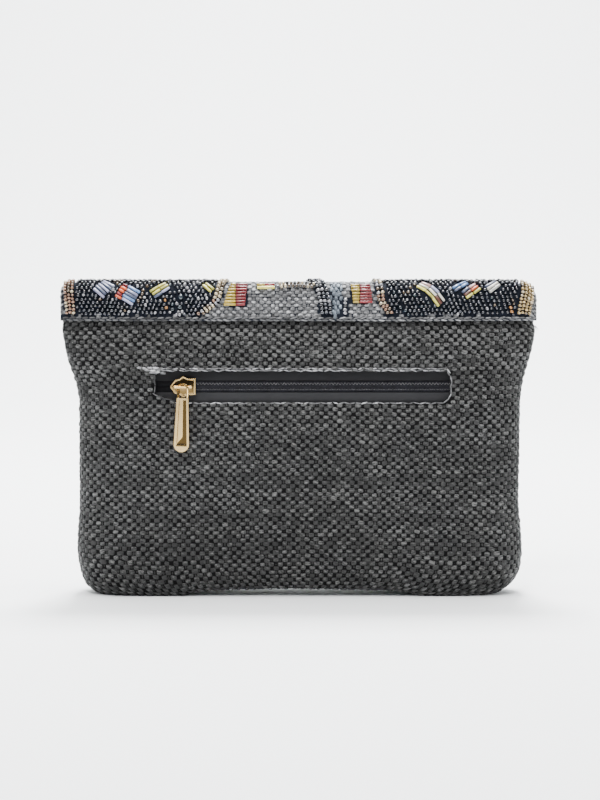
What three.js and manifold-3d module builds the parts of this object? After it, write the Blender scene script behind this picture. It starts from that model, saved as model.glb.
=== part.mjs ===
// Beaded clutch: a woven envelope body with a zip pocket at the back and a beaded flap.
//
// Millimetres, +Z up. The origin is at the middle of the bottom. +X runs along the bag, and -Y is
// the back, where the zip is. The flap starts at the seam near the top of the back, goes over the
// top and hangs down the front at +Y.

import * as THREE from 'three';
import { mergeVertices } from 'three/addons/utils/BufferGeometryUtils.js';
import Module from 'manifold-3d';

const wasm = await Module();
wasm.setup();

// Driving sizes of the bag
const WIDTH = 297; // across the top fold
const HEIGHT = 196.2; // cloth of the top fold above the table
const DEPTH = 40; // body, back to front where it is fullest
const CLOTH = 1.8; // woven wall of the body
const FLAP_CLOTH = 1.6;
const GAP = 0.3; // between neighbouring pieces
const CUT_PAST = 1; // a cutter starts this far outside the face that it cuts

// Flap
const SEAM_DROP = 23.6; // top of the fold down to the lower edge of the flap's back hem
const HEM_HEIGHT = 3.2;
const HEM_RISE = 0.8; // the rolled hem stands this much proud of the flap
const FOLD_RISE = 6.2; // height of the part that rolls over, above the sloping back
const FOLD_SLOPE = 20; // degrees that the flap leans in where it starts to roll over
const FLAP_DROP = 162.2; // top of the fold down to the flap's lower edge on the front
const FLAP_CORNER = 12; // radius of the flap's lower corners
const FOLD_CORNER_LEFT = 7; // radius of the fold's rounded ends, seen from behind
const FOLD_CORNER_RIGHT = 13;
const CORNER_CUT = 0.94; // share of a corner's radius where the flap's side edge cuts it
const FLAP_STANDOFF = 3; // the flap hangs this far off the front panel at its lower end
const FLAP_SPREAD = 9; // the flap bends round a body that is this much wider each side
const FRONT_SETBACK = 1.5; // the flap's sides lie this far inside the body's outline down the front
const FLAP_HEM = 2.5; // bare cloth below the beads at the flap's front end
const SIDE_TUCK = 1.2; // the body's sides lie this far inside the flap's under the seam

// Beadwork
const BEAD_HEIGHT = 1.7; // seed beads above the flap's cloth
const BUGLE_HEIGHT = 2; // tube beads lie a little higher
const BUGLE_PITCH = 2.25; // tube beads side by side
const EDGE_COLUMNS_LEFT = 5.2; // width of the gold columns along the flap's sides
const EDGE_COLUMNS_RIGHT = 8.2;
const EDGE_MARGIN_LEFT = 3.4; // bare cloth outside the columns
const EDGE_MARGIN_RIGHT = 2.6;
const BORDER_WIDTH = 4.6; // double row round the fields
const BAND_WIDTH = 6.4; // triple row on the bare middle
const COLUMN_WIDTH = 3.4;

// Zip pocket
const WINDOW_LENGTH = 182.5;
const WINDOW_HEIGHT = 18.9;
const WINDOW_OFFSET = 2.8; // the window's middle, to the right of the bag's
const ZIP_BELOW_SEAM = 40.6; // seam down to the middle of the window
const WINDOW_CORNER = 3; // small corners at the top
const WINDOW_CHAMFER_LENGTH = 15; // long cut corner at the lower left
const WINDOW_CHAMFER_HEIGHT = 5;
const WINDOW_ROUND = 8; // lower right corner
const FACING = 1;
const FACING_MARGIN = 5; // facing behind the cloth past the window's edge
const FACING_SLOPE = 1.1; // the facing leans in towards the zip
const COIL_WIDTH = 6.5;
const COIL_HEIGHT = 3;
const COIL_GROOVE = 0.7;
const TAPE = 1;
const TAPE_WIDTH = 11;

// Slider and puller
const SLIDER_FROM_END = 16.9; // window's left end to the middle of the slider
const SLIDER_LENGTH = 15.4;
const SLIDER_HEIGHT = 9.8;
const SLIDER_POINT = 1.8; // shoulders above the plain height
const SLIDER_PLATE = 1.6;
const SLIDER_BACK_PLATE = 1;
const SLIDER_RIM = 0.4;
const SLIDER_RIM_WIDTH = 0.8;
const SLIDER_POST = 1.8;
const SLIDER_PLAY = 0.7; // the slider's free run behind the tapes
const BRIDGE_LENGTH = 11;
const BRIDGE_RADIUS = 0.85;
const BRIDGE_SHIFT = 0.1; // the bridge's middle from the slider's
const RING_RADIUS = 0.7; // wire of the puller's eye
const PULLER_LENGTH = 40.3; // bridge to tip
const PULLER_NECK = 7.2;
const PULLER_WIDTH = 9.4;
const PULLER_THICKNESS = 1.2;
const PULLER_RIM = 0.5;
const PULLER_RIM_WIDTH = 1.3;
const PULLER_EYE_DROP = 7.4; // bridge to the shoulders of the eye
const PULLER_LEAN = 1.8; // degrees

// Closure
const SNAP_DIAMETER = 16;
const SNAP_ABOVE_END = 16; // its middle above the flap's lower edge

// Heights above the table and places along the zip that follow from these
const SEAM_HEIGHT = HEIGHT - SEAM_DROP;
const FOLD_START = HEIGHT - FOLD_RISE;
const FLAP_END = HEIGHT - FLAP_DROP;
const ZIP_HEIGHT = SEAM_HEIGHT - ZIP_BELOW_SEAM;
const SNAP_HEIGHT = FLAP_END + SNAP_ABOVE_END;
const SLIDER_X = WINDOW_OFFSET - WINDOW_LENGTH / 2 + SLIDER_FROM_END;
const BRIDGE_X = SLIDER_X + BRIDGE_SHIFT;

// Mesh steps
const PANEL_COLUMNS = 22;
const ROW_STEP = 16;
const BUGLE_STEP = 5;
const FLAP_COLUMNS = 22;
const FIELD_COLUMNS = 7;
const EDGE_STRIP_COLUMNS = 3;
const FOLD_STEPS = 8;
const FLAP_ROWS = 10;
const EDGE_CROWDING = 2; // columns crowd towards the sides, where the body turns round

// Sections of the body from the table up. height is a share of HEIGHT, left and right are shares
// of half the WIDTH, and depth is a share of half the DEPTH. square and round are the powers of
// the section's curve: a boxy section low down, a lens near the top.
const SECTIONS = [
  { height: 0, left: 0.845, right: 0.815, depth: 0.7, square: 12, round: 2 },
  { height: 0.008, left: 0.872, right: 0.86, depth: 0.8, square: 12, round: 2 },
  { height: 0.02, left: 0.889, right: 0.887, depth: 0.87, square: 12, round: 2 },
  { height: 0.04, left: 0.913, right: 0.914, depth: 0.925, square: 12, round: 2 },
  { height: 0.085, left: 0.93, right: 0.943, depth: 0.98, square: 12, round: 2 },
  { height: 0.14, left: 0.94, right: 0.95, depth: 1, square: 12, round: 2 },
  { height: 0.31, left: 0.928, right: 0.934, depth: 1, square: 12, round: 2 },
  { height: 0.62, left: 0.927, right: 0.937, depth: 0.97, square: 10, round: 2 },
  { height: 0.67, left: 0.937, right: 0.945, depth: 0.95, square: 9, round: 2 },
  { height: 0.7, left: 0.948, right: 0.952, depth: 0.93, square: 8, round: 1.9 },
  { height: 0.76, left: 0.976, right: 0.975, depth: 0.9, square: 6, round: 1.8 },
  { height: 0.82, left: 0.99, right: 0.993, depth: 0.85, square: 4.6, round: 1.6 },
  { height: 0.88, left: 1, right: 1, depth: 0.745, square: 3.8, round: 1.5 },
  { height: 0.925, left: 1, right: 1, depth: 0.6, square: 3.6, round: 1.5 },
  { height: 0.97, left: 1, right: 1, depth: 0.42, square: 3.6, round: 1.5 },
];

// Under the bag: it stands on a flat stretch near each end, and the bottom arches between them.
// across is a share of half the WIDTH, and lift a share of HEIGHT.
const BOTTOM = [
  { across: -1, lift: 0 },
  { across: -0.52, lift: 0 },
  { across: -0.4, lift: 0.017 },
  { across: -0.05, lift: 0.024 },
  { across: 0.42, lift: 0.018 },
  { across: 0.56, lift: 0 },
  { across: 1, lift: 0 },
];
const LIFT_REACH = 0.16; // the arch dies away at this share of HEIGHT

// Dents in the back panel, as the photograph shows them. across and up are the middle, as shares
// of half the WIDTH and of HEIGHT, long and tall are the reach, tilt is in degrees, and deep is a
// share of half the DEPTH.
const DENTS = [
  { across: 0.05, up: 0.748, long: 0.62, tall: 0.032, tilt: 0, deep: 0.055 }, // crease over the zip
  { across: -0.9, up: 0.665, long: 0.16, tall: 0.03, tilt: 24, deep: 0.16 }, // left side pinch
  { across: 0.91, up: 0.655, long: 0.14, tall: 0.036, tilt: -22, deep: 0.11 }, // right side pinch
  { across: -0.45, up: 0.36, long: 0.3, tall: 0.16, tilt: 10, deep: 0.035 }, // slack of the cloth
  { across: 0.48, up: 0.25, long: 0.26, tall: 0.12, tilt: -14, deep: 0.04 },
];

// Inner edges of the two bead fields along the flap. along is a share of the flap's path, from the
// back seam to the front end, and left and right are shares of the flap's half width.
const FIELD_EDGES = [
  { along: 0, left: -0.43, right: 0.372 },
  { along: 0.028, left: -0.38, right: 0.36 },
  { along: 0.065, left: -0.325, right: 0.325 },
  { along: 0.15, left: -0.295, right: 0.308 },
  { along: 0.36, left: -0.24, right: 0.25 },
  { along: 0.6, left: -0.22, right: 0.22 },
  { along: 0.82, left: -0.34, right: 0.34 },
  { along: 1, left: -0.56, right: 0.56 },
];

// Bands on the bare middle, as the middle line of each: shares as in FIELD_EDGES
const CENTRE_BAND = [
  { along: 0, at: 0.128 },
  { along: 0.06, at: 0.12 },
  { along: 0.13, at: 0.09 },
  { along: 0.2, at: 0.05 },
  { along: 0.3, at: 0.03 },
  { along: 0.45, at: 0.06 },
];
const CENTRE_COLUMN = [
  { along: 0, at: 0.193 },
  { along: 0.075, at: 0.193 },
];

// Groups of tube beads. across is a share of half the WIDTH and along a share of the flap's path,
// both at the group's middle. turn is the beads' direction from +X in degrees, seen from outside,
// count the beads side by side, and length their length in millimetres. field names the bead field
// that leaves room for the group, and the fans lie on bare cloth.
const BUGLES = [
  { name: 'bugle_fan_left', field: '', across: -0.2515, along: 0.086, turn: 0, count: 7, length: 13.4 },
  { name: 'bugle_fan_right', field: '', across: 0.2535, along: 0.089, turn: 0, count: 6, length: 12.8 },
  { name: 'bugle_leaf_left', field: 'left', across: -0.806, along: 0.107, turn: -40, count: 5, length: 9 },
  { name: 'bugle_leaf_right', field: 'left', across: -0.704, along: 0.0855, turn: -29, count: 5, length: 12.4 },
  { name: 'bugle_spray_left', field: 'left', across: -0.572, along: 0.1, turn: 35, count: 3, length: 11.6 },
  { name: 'bugle_spray_inner', field: 'left', across: -0.373, along: 0.109, turn: -47, count: 2, length: 7.6 },
  { name: 'bugle_spray_centre', field: '', across: -0.135, along: 0.113, turn: 0, count: 2, length: 11.2 },
  { name: 'bugle_curve', field: 'right', across: 0.543, along: 0.0887, turn: -44, count: 3, length: 19.6 },
  { name: 'bugle_pair_blue', field: 'right', across: 0.661, along: 0.1145, turn: 36, count: 2, length: 10.4 },
  { name: 'bugle_pair_orange', field: 'right', across: 0.704, along: 0.0965, turn: 36, count: 3, length: 10.6 },
  { name: 'bugle_spray_right', field: 'right', across: 0.793, along: 0.113, turn: 38, count: 3, length: 9 },
];

// Value of a table's column at a place between its rows, on a smooth curve that doesn't overshoot
function smoothRead(table, key, column, place) {
  const rows = table.length;
  if (place <= table[0][key]) return table[0][column];
  if (place >= table[rows - 1][key]) return table[rows - 1][column];
  let i = 0;
  while (place > table[i + 1][key]) i += 1;
  const rise = (k) => (table[k + 1][column] - table[k][column]) / (table[k + 1][key] - table[k][key]);
  const slopeAt = (k) => {
    const before = rise(Math.max(k - 1, 0));
    const after = rise(Math.min(k, rows - 2));
    return before * after <= 0 ? 0 : (2 * before * after) / (before + after);
  };
  const span = table[i + 1][key] - table[i][key];
  const t = (place - table[i][key]) / span;
  const hermite = [
    (1 + 2 * t) * (1 - t) ** 2,
    t * (1 - t) ** 2,
    t * t * (3 - 2 * t),
    t * t * (t - 1),
  ];
  return (
    hermite[0] * table[i][column] +
    hermite[1] * span * slopeAt(i) +
    hermite[2] * table[i + 1][column] +
    hermite[3] * span * slopeAt(i + 1)
  );
}

// Closed solid between two surfaces over the unit square. outer and inner give a point for (u, v),
// and us and vs are the stations. Corners that fall together are welded, and empty faces dropped.
function slab(us, vs, outer, inner) {
  const columns = us.length;
  const rows = vs.length;
  const points = [];
  for (const surface of [outer, inner]) {
    for (const v of vs) for (const u of us) points.push(...surface(u, v));
  }
  const at = (layer, i, j) => layer * columns * rows + j * columns + i;
  const faces = [];
  const quad = (a, b, c, d) => faces.push(a, b, c, a, c, d);
  for (let j = 0; j + 1 < rows; j += 1) {
    for (let i = 0; i + 1 < columns; i += 1) {
      quad(at(0, i, j), at(0, i + 1, j), at(0, i + 1, j + 1), at(0, i, j + 1));
      quad(at(1, i, j + 1), at(1, i + 1, j + 1), at(1, i + 1, j), at(1, i, j));
    }
    quad(at(0, 0, j), at(0, 0, j + 1), at(1, 0, j + 1), at(1, 0, j));
    quad(at(1, columns - 1, j), at(1, columns - 1, j + 1), at(0, columns - 1, j + 1), at(0, columns - 1, j));
  }
  for (let i = 0; i + 1 < columns; i += 1) {
    quad(at(1, i, 0), at(1, i + 1, 0), at(0, i + 1, 0), at(0, i, 0));
    quad(at(0, i, rows - 1), at(0, i + 1, rows - 1), at(1, i + 1, rows - 1), at(1, i, rows - 1));
  }
  const geometry = new THREE.BufferGeometry();
  geometry.setAttribute('position', new THREE.Float32BufferAttribute(points, 3));
  geometry.setIndex(faces);
  return facingOut(dropEmptyFaces(mergeVertices(geometry, 1e-3)));
}

function dropEmptyFaces(geometry) {
  const index = geometry.getIndex().array;
  const kept = [];
  for (let k = 0; k < index.length; k += 3) {
    const [a, b, c] = [index[k], index[k + 1], index[k + 2]];
    if (a !== b && b !== c && c !== a) kept.push(a, b, c);
  }
  geometry.setIndex(kept);
  return geometry;
}

// Six times the signed volume tells whether the faces point outwards
function facingOut(geometry) {
  const position = geometry.getAttribute('position');
  const index = Array.from(geometry.getIndex().array);
  const corner = (k) => new THREE.Vector3().fromBufferAttribute(position, index[k]);
  let volume = 0;
  for (let k = 0; k < index.length; k += 3) volume += corner(k).dot(corner(k + 1).cross(corner(k + 2)));
  if (volume < 0) {
    for (let k = 0; k < index.length; k += 3) [index[k], index[k + 1]] = [index[k + 1], index[k]];
    geometry.setIndex(index);
  }
  return geometry;
}

function evenly(from, to, steps) {
  return Array.from({ length: steps + 1 }, (_, i) => from + ((to - from) * i) / steps);
}

// Stations from -1 to 1 that crowd towards both ends
const crowded = (steps) =>
  evenly(-1, 1, steps).map((t) => Math.sign(t) * (1 - (1 - Math.abs(t)) ** EDGE_CROWDING));

function toManifold(geometry) {
  const bare = geometry.clone();
  bare.deleteAttribute('normal');
  bare.deleteAttribute('uv');
  const merged = mergeVertices(bare, 1e-4);
  const mesh = new wasm.Mesh({
    numProp: 3,
    vertProperties: new Float32Array(merged.getAttribute('position').array),
    triVerts: new Uint32Array(merged.getIndex().array),
  });
  return new wasm.Manifold(mesh);
}

function fromManifold(solid) {
  const mesh = solid.getMesh();
  const geometry = new THREE.BufferGeometry();
  geometry.setAttribute('position', new THREE.BufferAttribute(new Float32Array(mesh.vertProperties), 3));
  geometry.setIndex(new THREE.BufferAttribute(new Uint32Array(mesh.triVerts), 1));
  return geometry;
}

// Outline in X and Z, extruded from one Y to another
function plate(shape, fromY, toY, curveSegments = 6) {
  const settings = { depth: toY - fromY, bevelEnabled: false, curveSegments };
  const geometry = new THREE.ExtrudeGeometry(shape, settings);
  geometry.rotateX(Math.PI / 2);
  geometry.translate(0, toY, 0);
  return geometry;
}

// Body
const section = (column, z) => smoothRead(SECTIONS, 'height', column, z / HEIGHT);
const halfWidth = (x, z) => (section(x < 0 ? 'left' : 'right', z) * WIDTH) / 2;
const lift = (x) => smoothRead(BOTTOM, 'across', 'lift', (2 * x) / WIDTH) * HEIGHT;

// How far the body's surface stands from the middle plane, on a body with the given half width
function bulge(x, z, reach, inset = 0) {
  const across = Math.min(1, Math.abs(x) / reach);
  const square = section('square', z);
  const round = section('round', z);
  const half = (section('depth', z) * DEPTH) / 2 - inset;
  return half * Math.max(0, 1 - across ** square) ** (1 / round);
}

// Depth of the dents at a place on the back, each a smooth hollow
function dented(x, z) {
  let depth = 0;
  for (const dent of DENTS) {
    const tilt = THREE.MathUtils.degToRad(dent.tilt);
    const right = x - (dent.across * WIDTH) / 2;
    const up = z - dent.up * HEIGHT;
    const along = (right * Math.cos(tilt) + up * Math.sin(tilt)) / ((dent.long * WIDTH) / 2);
    const over = (up * Math.cos(tilt) - right * Math.sin(tilt)) / (dent.tall * HEIGHT);
    depth += ((dent.deep * DEPTH) / 2) * Math.exp(-(along ** 4) - over ** 2);
  }
  return depth;
}

// The dents fade out where the surface turns towards the side seam
function backDepth(x, z, reach, inset = 0) {
  const plain = bulge(x, z, reach, inset);
  const full = (section('depth', z) * DEPTH) / 2 - inset;
  return plain - dented(x, z) * (plain / full);
}

const tuck = (z) => SIDE_TUCK * THREE.MathUtils.smoothstep(z, SEAM_HEIGHT - HEM_HEIGHT * 2, SEAM_HEIGHT);
const bodyReach = (x, z) => halfWidth(x, z) - tuck(z);

// Heights of the body's rows: each section's height, with steps between the far ones
function bodyRows(top) {
  const heights = SECTIONS.map((row) => row.height * HEIGHT).filter((z) => z < top);
  heights.push(top);
  const rows = [heights[0]];
  for (let k = 1; k < heights.length; k += 1) {
    const steps = Math.ceil((heights[k] - heights[k - 1]) / ROW_STEP);
    rows.push(...evenly(heights[k - 1], heights[k], steps).slice(1));
  }
  return rows;
}

// The top corners are round, and the drop towards them dies away down to CORNER_BASE
const CORNER_BASE = SEAM_HEIGHT - FOLD_CORNER_RIGHT;
function foldDrop(x) {
  const corner = x < 0 ? FOLD_CORNER_LEFT : FOLD_CORNER_RIGHT;
  const start = WIDTH / 2 - corner * CORNER_CUT;
  const past = THREE.MathUtils.clamp(Math.abs(x) - start, 0, corner * CORNER_CUT);
  return corner - Math.sqrt(corner ** 2 - past ** 2);
}

// One half of the body, from the seam along the bottom up to its top edge. side is -1 at the back.
// The first two rows lie flat under the bag: the seam line and the middle of the foot.
function bodyPanel(side, top, depthAt) {
  const foot = [0, 0.5].map((spread) => ({ height: 0, spread }));
  const rows = [...foot, ...bodyRows(top).map((height) => ({ height, spread: 1 }))];
  const point = (inset) => (u, k) => {
    const { height, spread } = rows[k];
    const x = u * (bodyReach(u, height) - inset);
    const z = height - foldDrop(x) * THREE.MathUtils.smoothstep(height, CORNER_BASE, FOLD_START);
    const y = depthAt(x, z, bodyReach(u, z) - inset, inset) * spread + GAP / 2;
    const nearFloor = Math.max(0, 1 - z / (LIFT_REACH * HEIGHT));
    return [x, side * y, z + (lift(x) + inset) * nearFloor];
  };
  return slab(crowded(PANEL_COLUMNS), [...rows.keys()], point(0), point(CLOTH));
}

// Outline of the zip window, seen from behind with +X to the right
function windowShape() {
  const left = WINDOW_OFFSET - WINDOW_LENGTH / 2;
  const right = WINDOW_OFFSET + WINDOW_LENGTH / 2;
  const low = ZIP_HEIGHT - WINDOW_HEIGHT / 2;
  const high = ZIP_HEIGHT + WINDOW_HEIGHT / 2;
  const shape = new THREE.Shape();
  shape.moveTo(left + WINDOW_CORNER, high);
  shape.lineTo(left, high - WINDOW_CORNER / 2);
  shape.lineTo(left, low + WINDOW_CHAMFER_HEIGHT);
  shape.lineTo(left + WINDOW_CHAMFER_LENGTH, low);
  shape.lineTo(right - WINDOW_ROUND, low);
  shape.quadraticCurveTo(right, low, right, low + WINDOW_ROUND);
  shape.lineTo(right, high - WINDOW_CORNER);
  shape.lineTo(right - WINDOW_CORNER, high);
  return shape;
}

function backPanel() {
  const panel = toManifold(bodyPanel(-1, FOLD_START - GAP, backDepth));
  const cutter = toManifold(plate(windowShape(), -DEPTH, -DEPTH / 8));
  return fromManifold(panel.subtract(cutter));
}

// Flap. Its path runs up the back from the hem, over the fold and down the front.
const FLAP_CLEARANCE = GAP * 1.5;
const BACK_RISE = FOLD_START - SEAM_HEIGHT;
const FOLD_FROM = THREE.MathUtils.degToRad(FOLD_SLOPE);
const FOLD_TURN = Math.PI - 2 * FOLD_FROM;
const foldAcross = (halfDepth) => halfDepth / Math.cos(FOLD_FROM);
const foldUp = (rise) => rise / (1 - Math.sin(FOLD_FROM));
const FOLD_HALF_DEPTH = bulge(0, FOLD_START, WIDTH / 2) + FLAP_CLEARANCE + FLAP_CLOTH;
const FOLD_ARC = FOLD_TURN * Math.sqrt((foldAcross(FOLD_HALF_DEPTH) ** 2 + foldUp(FOLD_RISE) ** 2) / 2);
const FRONT_DROP = FOLD_START - FLAP_END;
const STEP_LENGTH = BACK_RISE + FOLD_ARC + FRONT_DROP;

// Lower edge of the flap, with its round corners
function flapEnd(x) {
  const start = halfWidth(x, FLAP_END) - FLAP_CORNER;
  const past = THREE.MathUtils.clamp(Math.abs(x) - start, 0, FLAP_CORNER * CORNER_CUT);
  return FLAP_END + FLAP_CORNER - Math.sqrt(FLAP_CORNER ** 2 - past ** 2);
}

// Point of the flap at x, some steps along its path, raised off the cloth's inner face. The flap
// bends round a body wider than the real one, so that its side edges stand off a little.
function flapStep(x, step, raise) {
  const outward = (z) => bulge(x, z, halfWidth(x, z) + FLAP_SPREAD) + FLAP_CLEARANCE + raise;
  const start = FOLD_START - foldDrop(x);
  const past = step - BACK_RISE;
  if (past <= 0) {
    const z = SEAM_HEIGHT + ((start - SEAM_HEIGHT) * step) / BACK_RISE;
    return [x, -outward(z), z];
  }
  if (past <= FOLD_ARC) {
    const turn = FOLD_FROM + (FOLD_TURN * past) / FOLD_ARC;
    const up = foldUp(FOLD_RISE - FLAP_CLOTH + raise);
    const z = start + up * (Math.sin(turn) - Math.sin(FOLD_FROM));
    return [x, -foldAcross(outward(start)) * Math.cos(turn), z];
  }
  const share = (past - FOLD_ARC) / FRONT_DROP;
  const z = start + (flapEnd(x) - start) * share;
  const standoff = (FLAP_STANDOFF - FLAP_CLEARANCE) * THREE.MathUtils.smoothstep(share, 0, 0.9);
  return [x, outward(z) + standoff, z];
}

// Length along the flap's outer face, in the middle of the bag, at each of many small steps
const PATH_SAMPLES = 240;
const PATH = [{ step: 0, length: 0 }];
for (let k = 1; k <= PATH_SAMPLES; k += 1) {
  const step = (STEP_LENGTH * k) / PATH_SAMPLES;
  const [, y0, z0] = flapStep(0, PATH[k - 1].step, FLAP_CLOTH);
  const [, y1, z1] = flapStep(0, step, FLAP_CLOTH);
  PATH.push({ step, length: PATH[k - 1].length + Math.hypot(y1 - y0, z1 - z0) });
}
const PATH_LENGTH = PATH[PATH_SAMPLES].length;

function between(table, from, to, place) {
  const next = Math.max(1, table.findIndex((row) => row[from] >= place - 1e-9));
  const [low, high] = [table[next - 1], table[next]];
  return low[to] + ((high[to] - low[to]) * (place - low[from])) / (high[from] - low[from]);
}
const stepAt = (s) => between(PATH, 'length', 'step', Math.min(s, PATH_LENGTH));
const lengthAt = (step) => between(PATH, 'step', 'length', step);

// Point of the flap at x and at the length s along its path
const flapPoint = (x, s, raise) => flapStep(x, stepAt(s), raise);

// Half width of the flap at s: full over the fold, and inside the body's outline down the front
function flapHalfWidth(sign, s) {
  const past = Math.max(0, stepAt(s) - BACK_RISE - FOLD_ARC);
  const setback = FRONT_SETBACK * THREE.MathUtils.smoothstep(past, 0, BACK_RISE);
  return halfWidth(sign, FOLD_START - past) - setback;
}

// Rolled hem at the back seam. along is a share of HEM_HEIGHT, and rise a share of HEM_RISE.
const HEM = [
  { along: 0, rise: 0.4 },
  { along: 0.3, rise: 1 },
  { along: 0.7, rise: 1 },
  { along: 1, rise: 0 },
];
const hemRise = (s) => smoothRead(HEM, 'along', 'rise', s / HEM_HEIGHT) * HEM_RISE;

const FLAP_STATIONS = [
  ...HEM.map((row) => row.along * HEM_HEIGHT),
  lengthAt(BACK_RISE / 2),
  ...evenly(0, FOLD_ARC, FOLD_STEPS).map((arc) => lengthAt(BACK_RISE + arc)),
  ...evenly(0, FRONT_DROP, FLAP_ROWS).slice(1).map((drop) => lengthAt(BACK_RISE + FOLD_ARC + drop)),
];

function flapBase() {
  const at = (raise) => (u, s) => flapPoint(u * flapHalfWidth(Math.sign(u), s), s, raise(s));
  const outer = at((s) => FLAP_CLOTH + hemRise(s));
  return slab(crowded(FLAP_COLUMNS), FLAP_STATIONS, outer, at(() => 0));
}

// Strip or field of beads on the flap between two edges, each a function of s that gives x. The
// columns crowd towards the first edge, where the flap turns round the side.
const BEAD_BASE = FLAP_CLOTH + GAP;
const BEADS_START = HEM_HEIGHT + GAP;
const BEADS_END = PATH_LENGTH - FLAP_HEM;
function beadLayer(from, to, columns = 1, end = BEADS_END) {
  const inner = FLAP_STATIONS.filter((s) => s > BEADS_START + 1 && s < end - 1);
  const stations = [BEADS_START, ...inner, end];
  const us = evenly(0, 1, columns).map((t) => t ** EDGE_CROWDING);
  const at = (raise) => (u, s) => flapPoint(from(s) + (to(s) - from(s)) * u, s, raise);
  return slab(us, stations, at(BEAD_BASE + BEAD_HEIGHT), at(BEAD_BASE));
}

const fieldEdge = (side) => (s) =>
  smoothRead(FIELD_EDGES, 'along', side, s / PATH_LENGTH) * flapHalfWidth(side === 'left' ? -1 : 1, s);
const shifted = (edge, by) => (s) => edge(s) + by;
const sideEdge = (sign, inside) => (s) => sign * (flapHalfWidth(sign, s) - inside);
const middleLine = (table) => (s) => (smoothRead(table, 'along', 'at', s / PATH_LENGTH) * WIDTH) / 2;

// Tube beads side by side, as a patch on the flap with a ridge for each bead
const RIDGE = [
  { across: 0, share: 0.45 },
  { across: 0.5, share: 1 },
];
function buglePatch({ across, along, turn, count, length }, margin, top) {
  const angle = THREE.MathUtils.degToRad(turn);
  const ridges = [];
  for (let k = 0; k < count; k += 1) {
    for (const row of RIDGE) ridges.push({ over: k + row.across, share: row.share });
  }
  ridges.push({ over: count, share: RIDGE[0].share });
  const at = (raise) => (u, k) => {
    const run = u * (length / 2 + margin);
    const over = (ridges[k].over / count - 0.5) * (count * BUGLE_PITCH + 2 * margin);
    const x = (across * WIDTH) / 2 + run * Math.cos(angle) - over * Math.sin(angle);
    const s = along * PATH_LENGTH + run * Math.sin(angle) + over * Math.cos(angle);
    return flapPoint(x, s, raise(ridges[k].share));
  };
  const base = margin > 0 ? BEAD_BASE - FLAP_CLOTH : BEAD_BASE;
  const steps = Math.ceil(length / BUGLE_STEP);
  return slab(evenly(-1, 1, steps), [...ridges.keys()], at((share) => base + top(share)), at(() => base));
}
const bugleGroup = (group) => buglePatch(group, 0, (share) => BUGLE_HEIGHT * share);

// Room for a group in the bead field that it lies in
function withRoom(field, side) {
  let solid = toManifold(field);
  for (const group of BUGLES.filter((one) => one.field === side)) {
    solid = solid.subtract(toManifold(buglePatch(group, GAP, () => 2 * BUGLE_HEIGHT)));
  }
  return fromManifold(solid);
}

// Zip. Each strip follows the back panel at a depth below its outer face.
const FACING_INSET = CLOTH + GAP;
const TAPE_INSET = FACING_INSET + FACING_SLOPE + FACING + GAP;
const COIL_INSET = TAPE_INSET + TAPE - COIL_HEIGHT;
const ZIP_COLUMNS = 8;
const zipLeft = WINDOW_OFFSET - WINDOW_LENGTH / 2 - FACING_MARGIN;
const zipRight = WINDOW_OFFSET + WINDOW_LENGTH / 2 + FACING_MARGIN;

// Depth of the plain back face behind the zip, without the crease, so that the zip lies even
const zipFace = (x, z) => backDepth(x, z, bodyReach(x, z));
const zipPoint = (x, z, inset) => [x, -(zipFace(x, z) + GAP / 2 - inset), z];

function zipStrip(fromX, toX, heights, outerInset, innerInset) {
  const at = (inset) => (u, k) => zipPoint(u, heights[k], inset(k));
  return slab(evenly(fromX, toX, ZIP_COLUMNS), [...heights.keys()], at(outerInset), at(innerInset));
}

// Facing cloth above (sign 1) or below (sign -1) the zip. It leans in from the window's edge.
function facing(sign) {
  const slotEdge = ZIP_HEIGHT + sign * (COIL_WIDTH / 2 + GAP);
  const windowEdge = ZIP_HEIGHT + (sign * WINDOW_HEIGHT) / 2;
  const heights = [slotEdge, windowEdge, windowEdge + sign * FACING_MARGIN];
  const insets = [FACING_INSET + FACING_SLOPE, FACING_INSET, FACING_INSET];
  return zipStrip(zipLeft, zipRight, heights, (k) => insets[k], (k) => insets[k] + FACING);
}

function tape(sign) {
  const near = ZIP_HEIGHT + sign * (COIL_WIDTH / 2 + GAP);
  const heights = [near, near + sign * TAPE_WIDTH];
  return zipStrip(zipLeft, zipRight, heights, () => TAPE_INSET, () => TAPE_INSET + TAPE);
}

// Closed coil: two rounded ridges with a groove where the halves meet
const COIL_SECTION = [
  { up: -0.5, low: 0.45 },
  { up: -0.38, low: 0.05 },
  { up: -0.16, low: 0 },
  { up: 0, low: 1 },
  { up: 0.16, low: 0 },
  { up: 0.38, low: 0.05 },
  { up: 0.5, low: 0.45 },
];
const sliderLeft = SLIDER_X - SLIDER_LENGTH / 2;
const postX = sliderLeft + SLIDER_POST * 1.5;
function coil() {
  const heights = COIL_SECTION.map((row) => ZIP_HEIGHT + row.up * COIL_WIDTH);
  const outer = (k) => COIL_INSET + COIL_SECTION[k].low * COIL_GROOVE;
  const start = postX + SLIDER_POST / 2 + GAP;
  return zipStrip(start, zipRight, heights, outer, () => COIL_INSET + COIL_HEIGHT);
}

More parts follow.
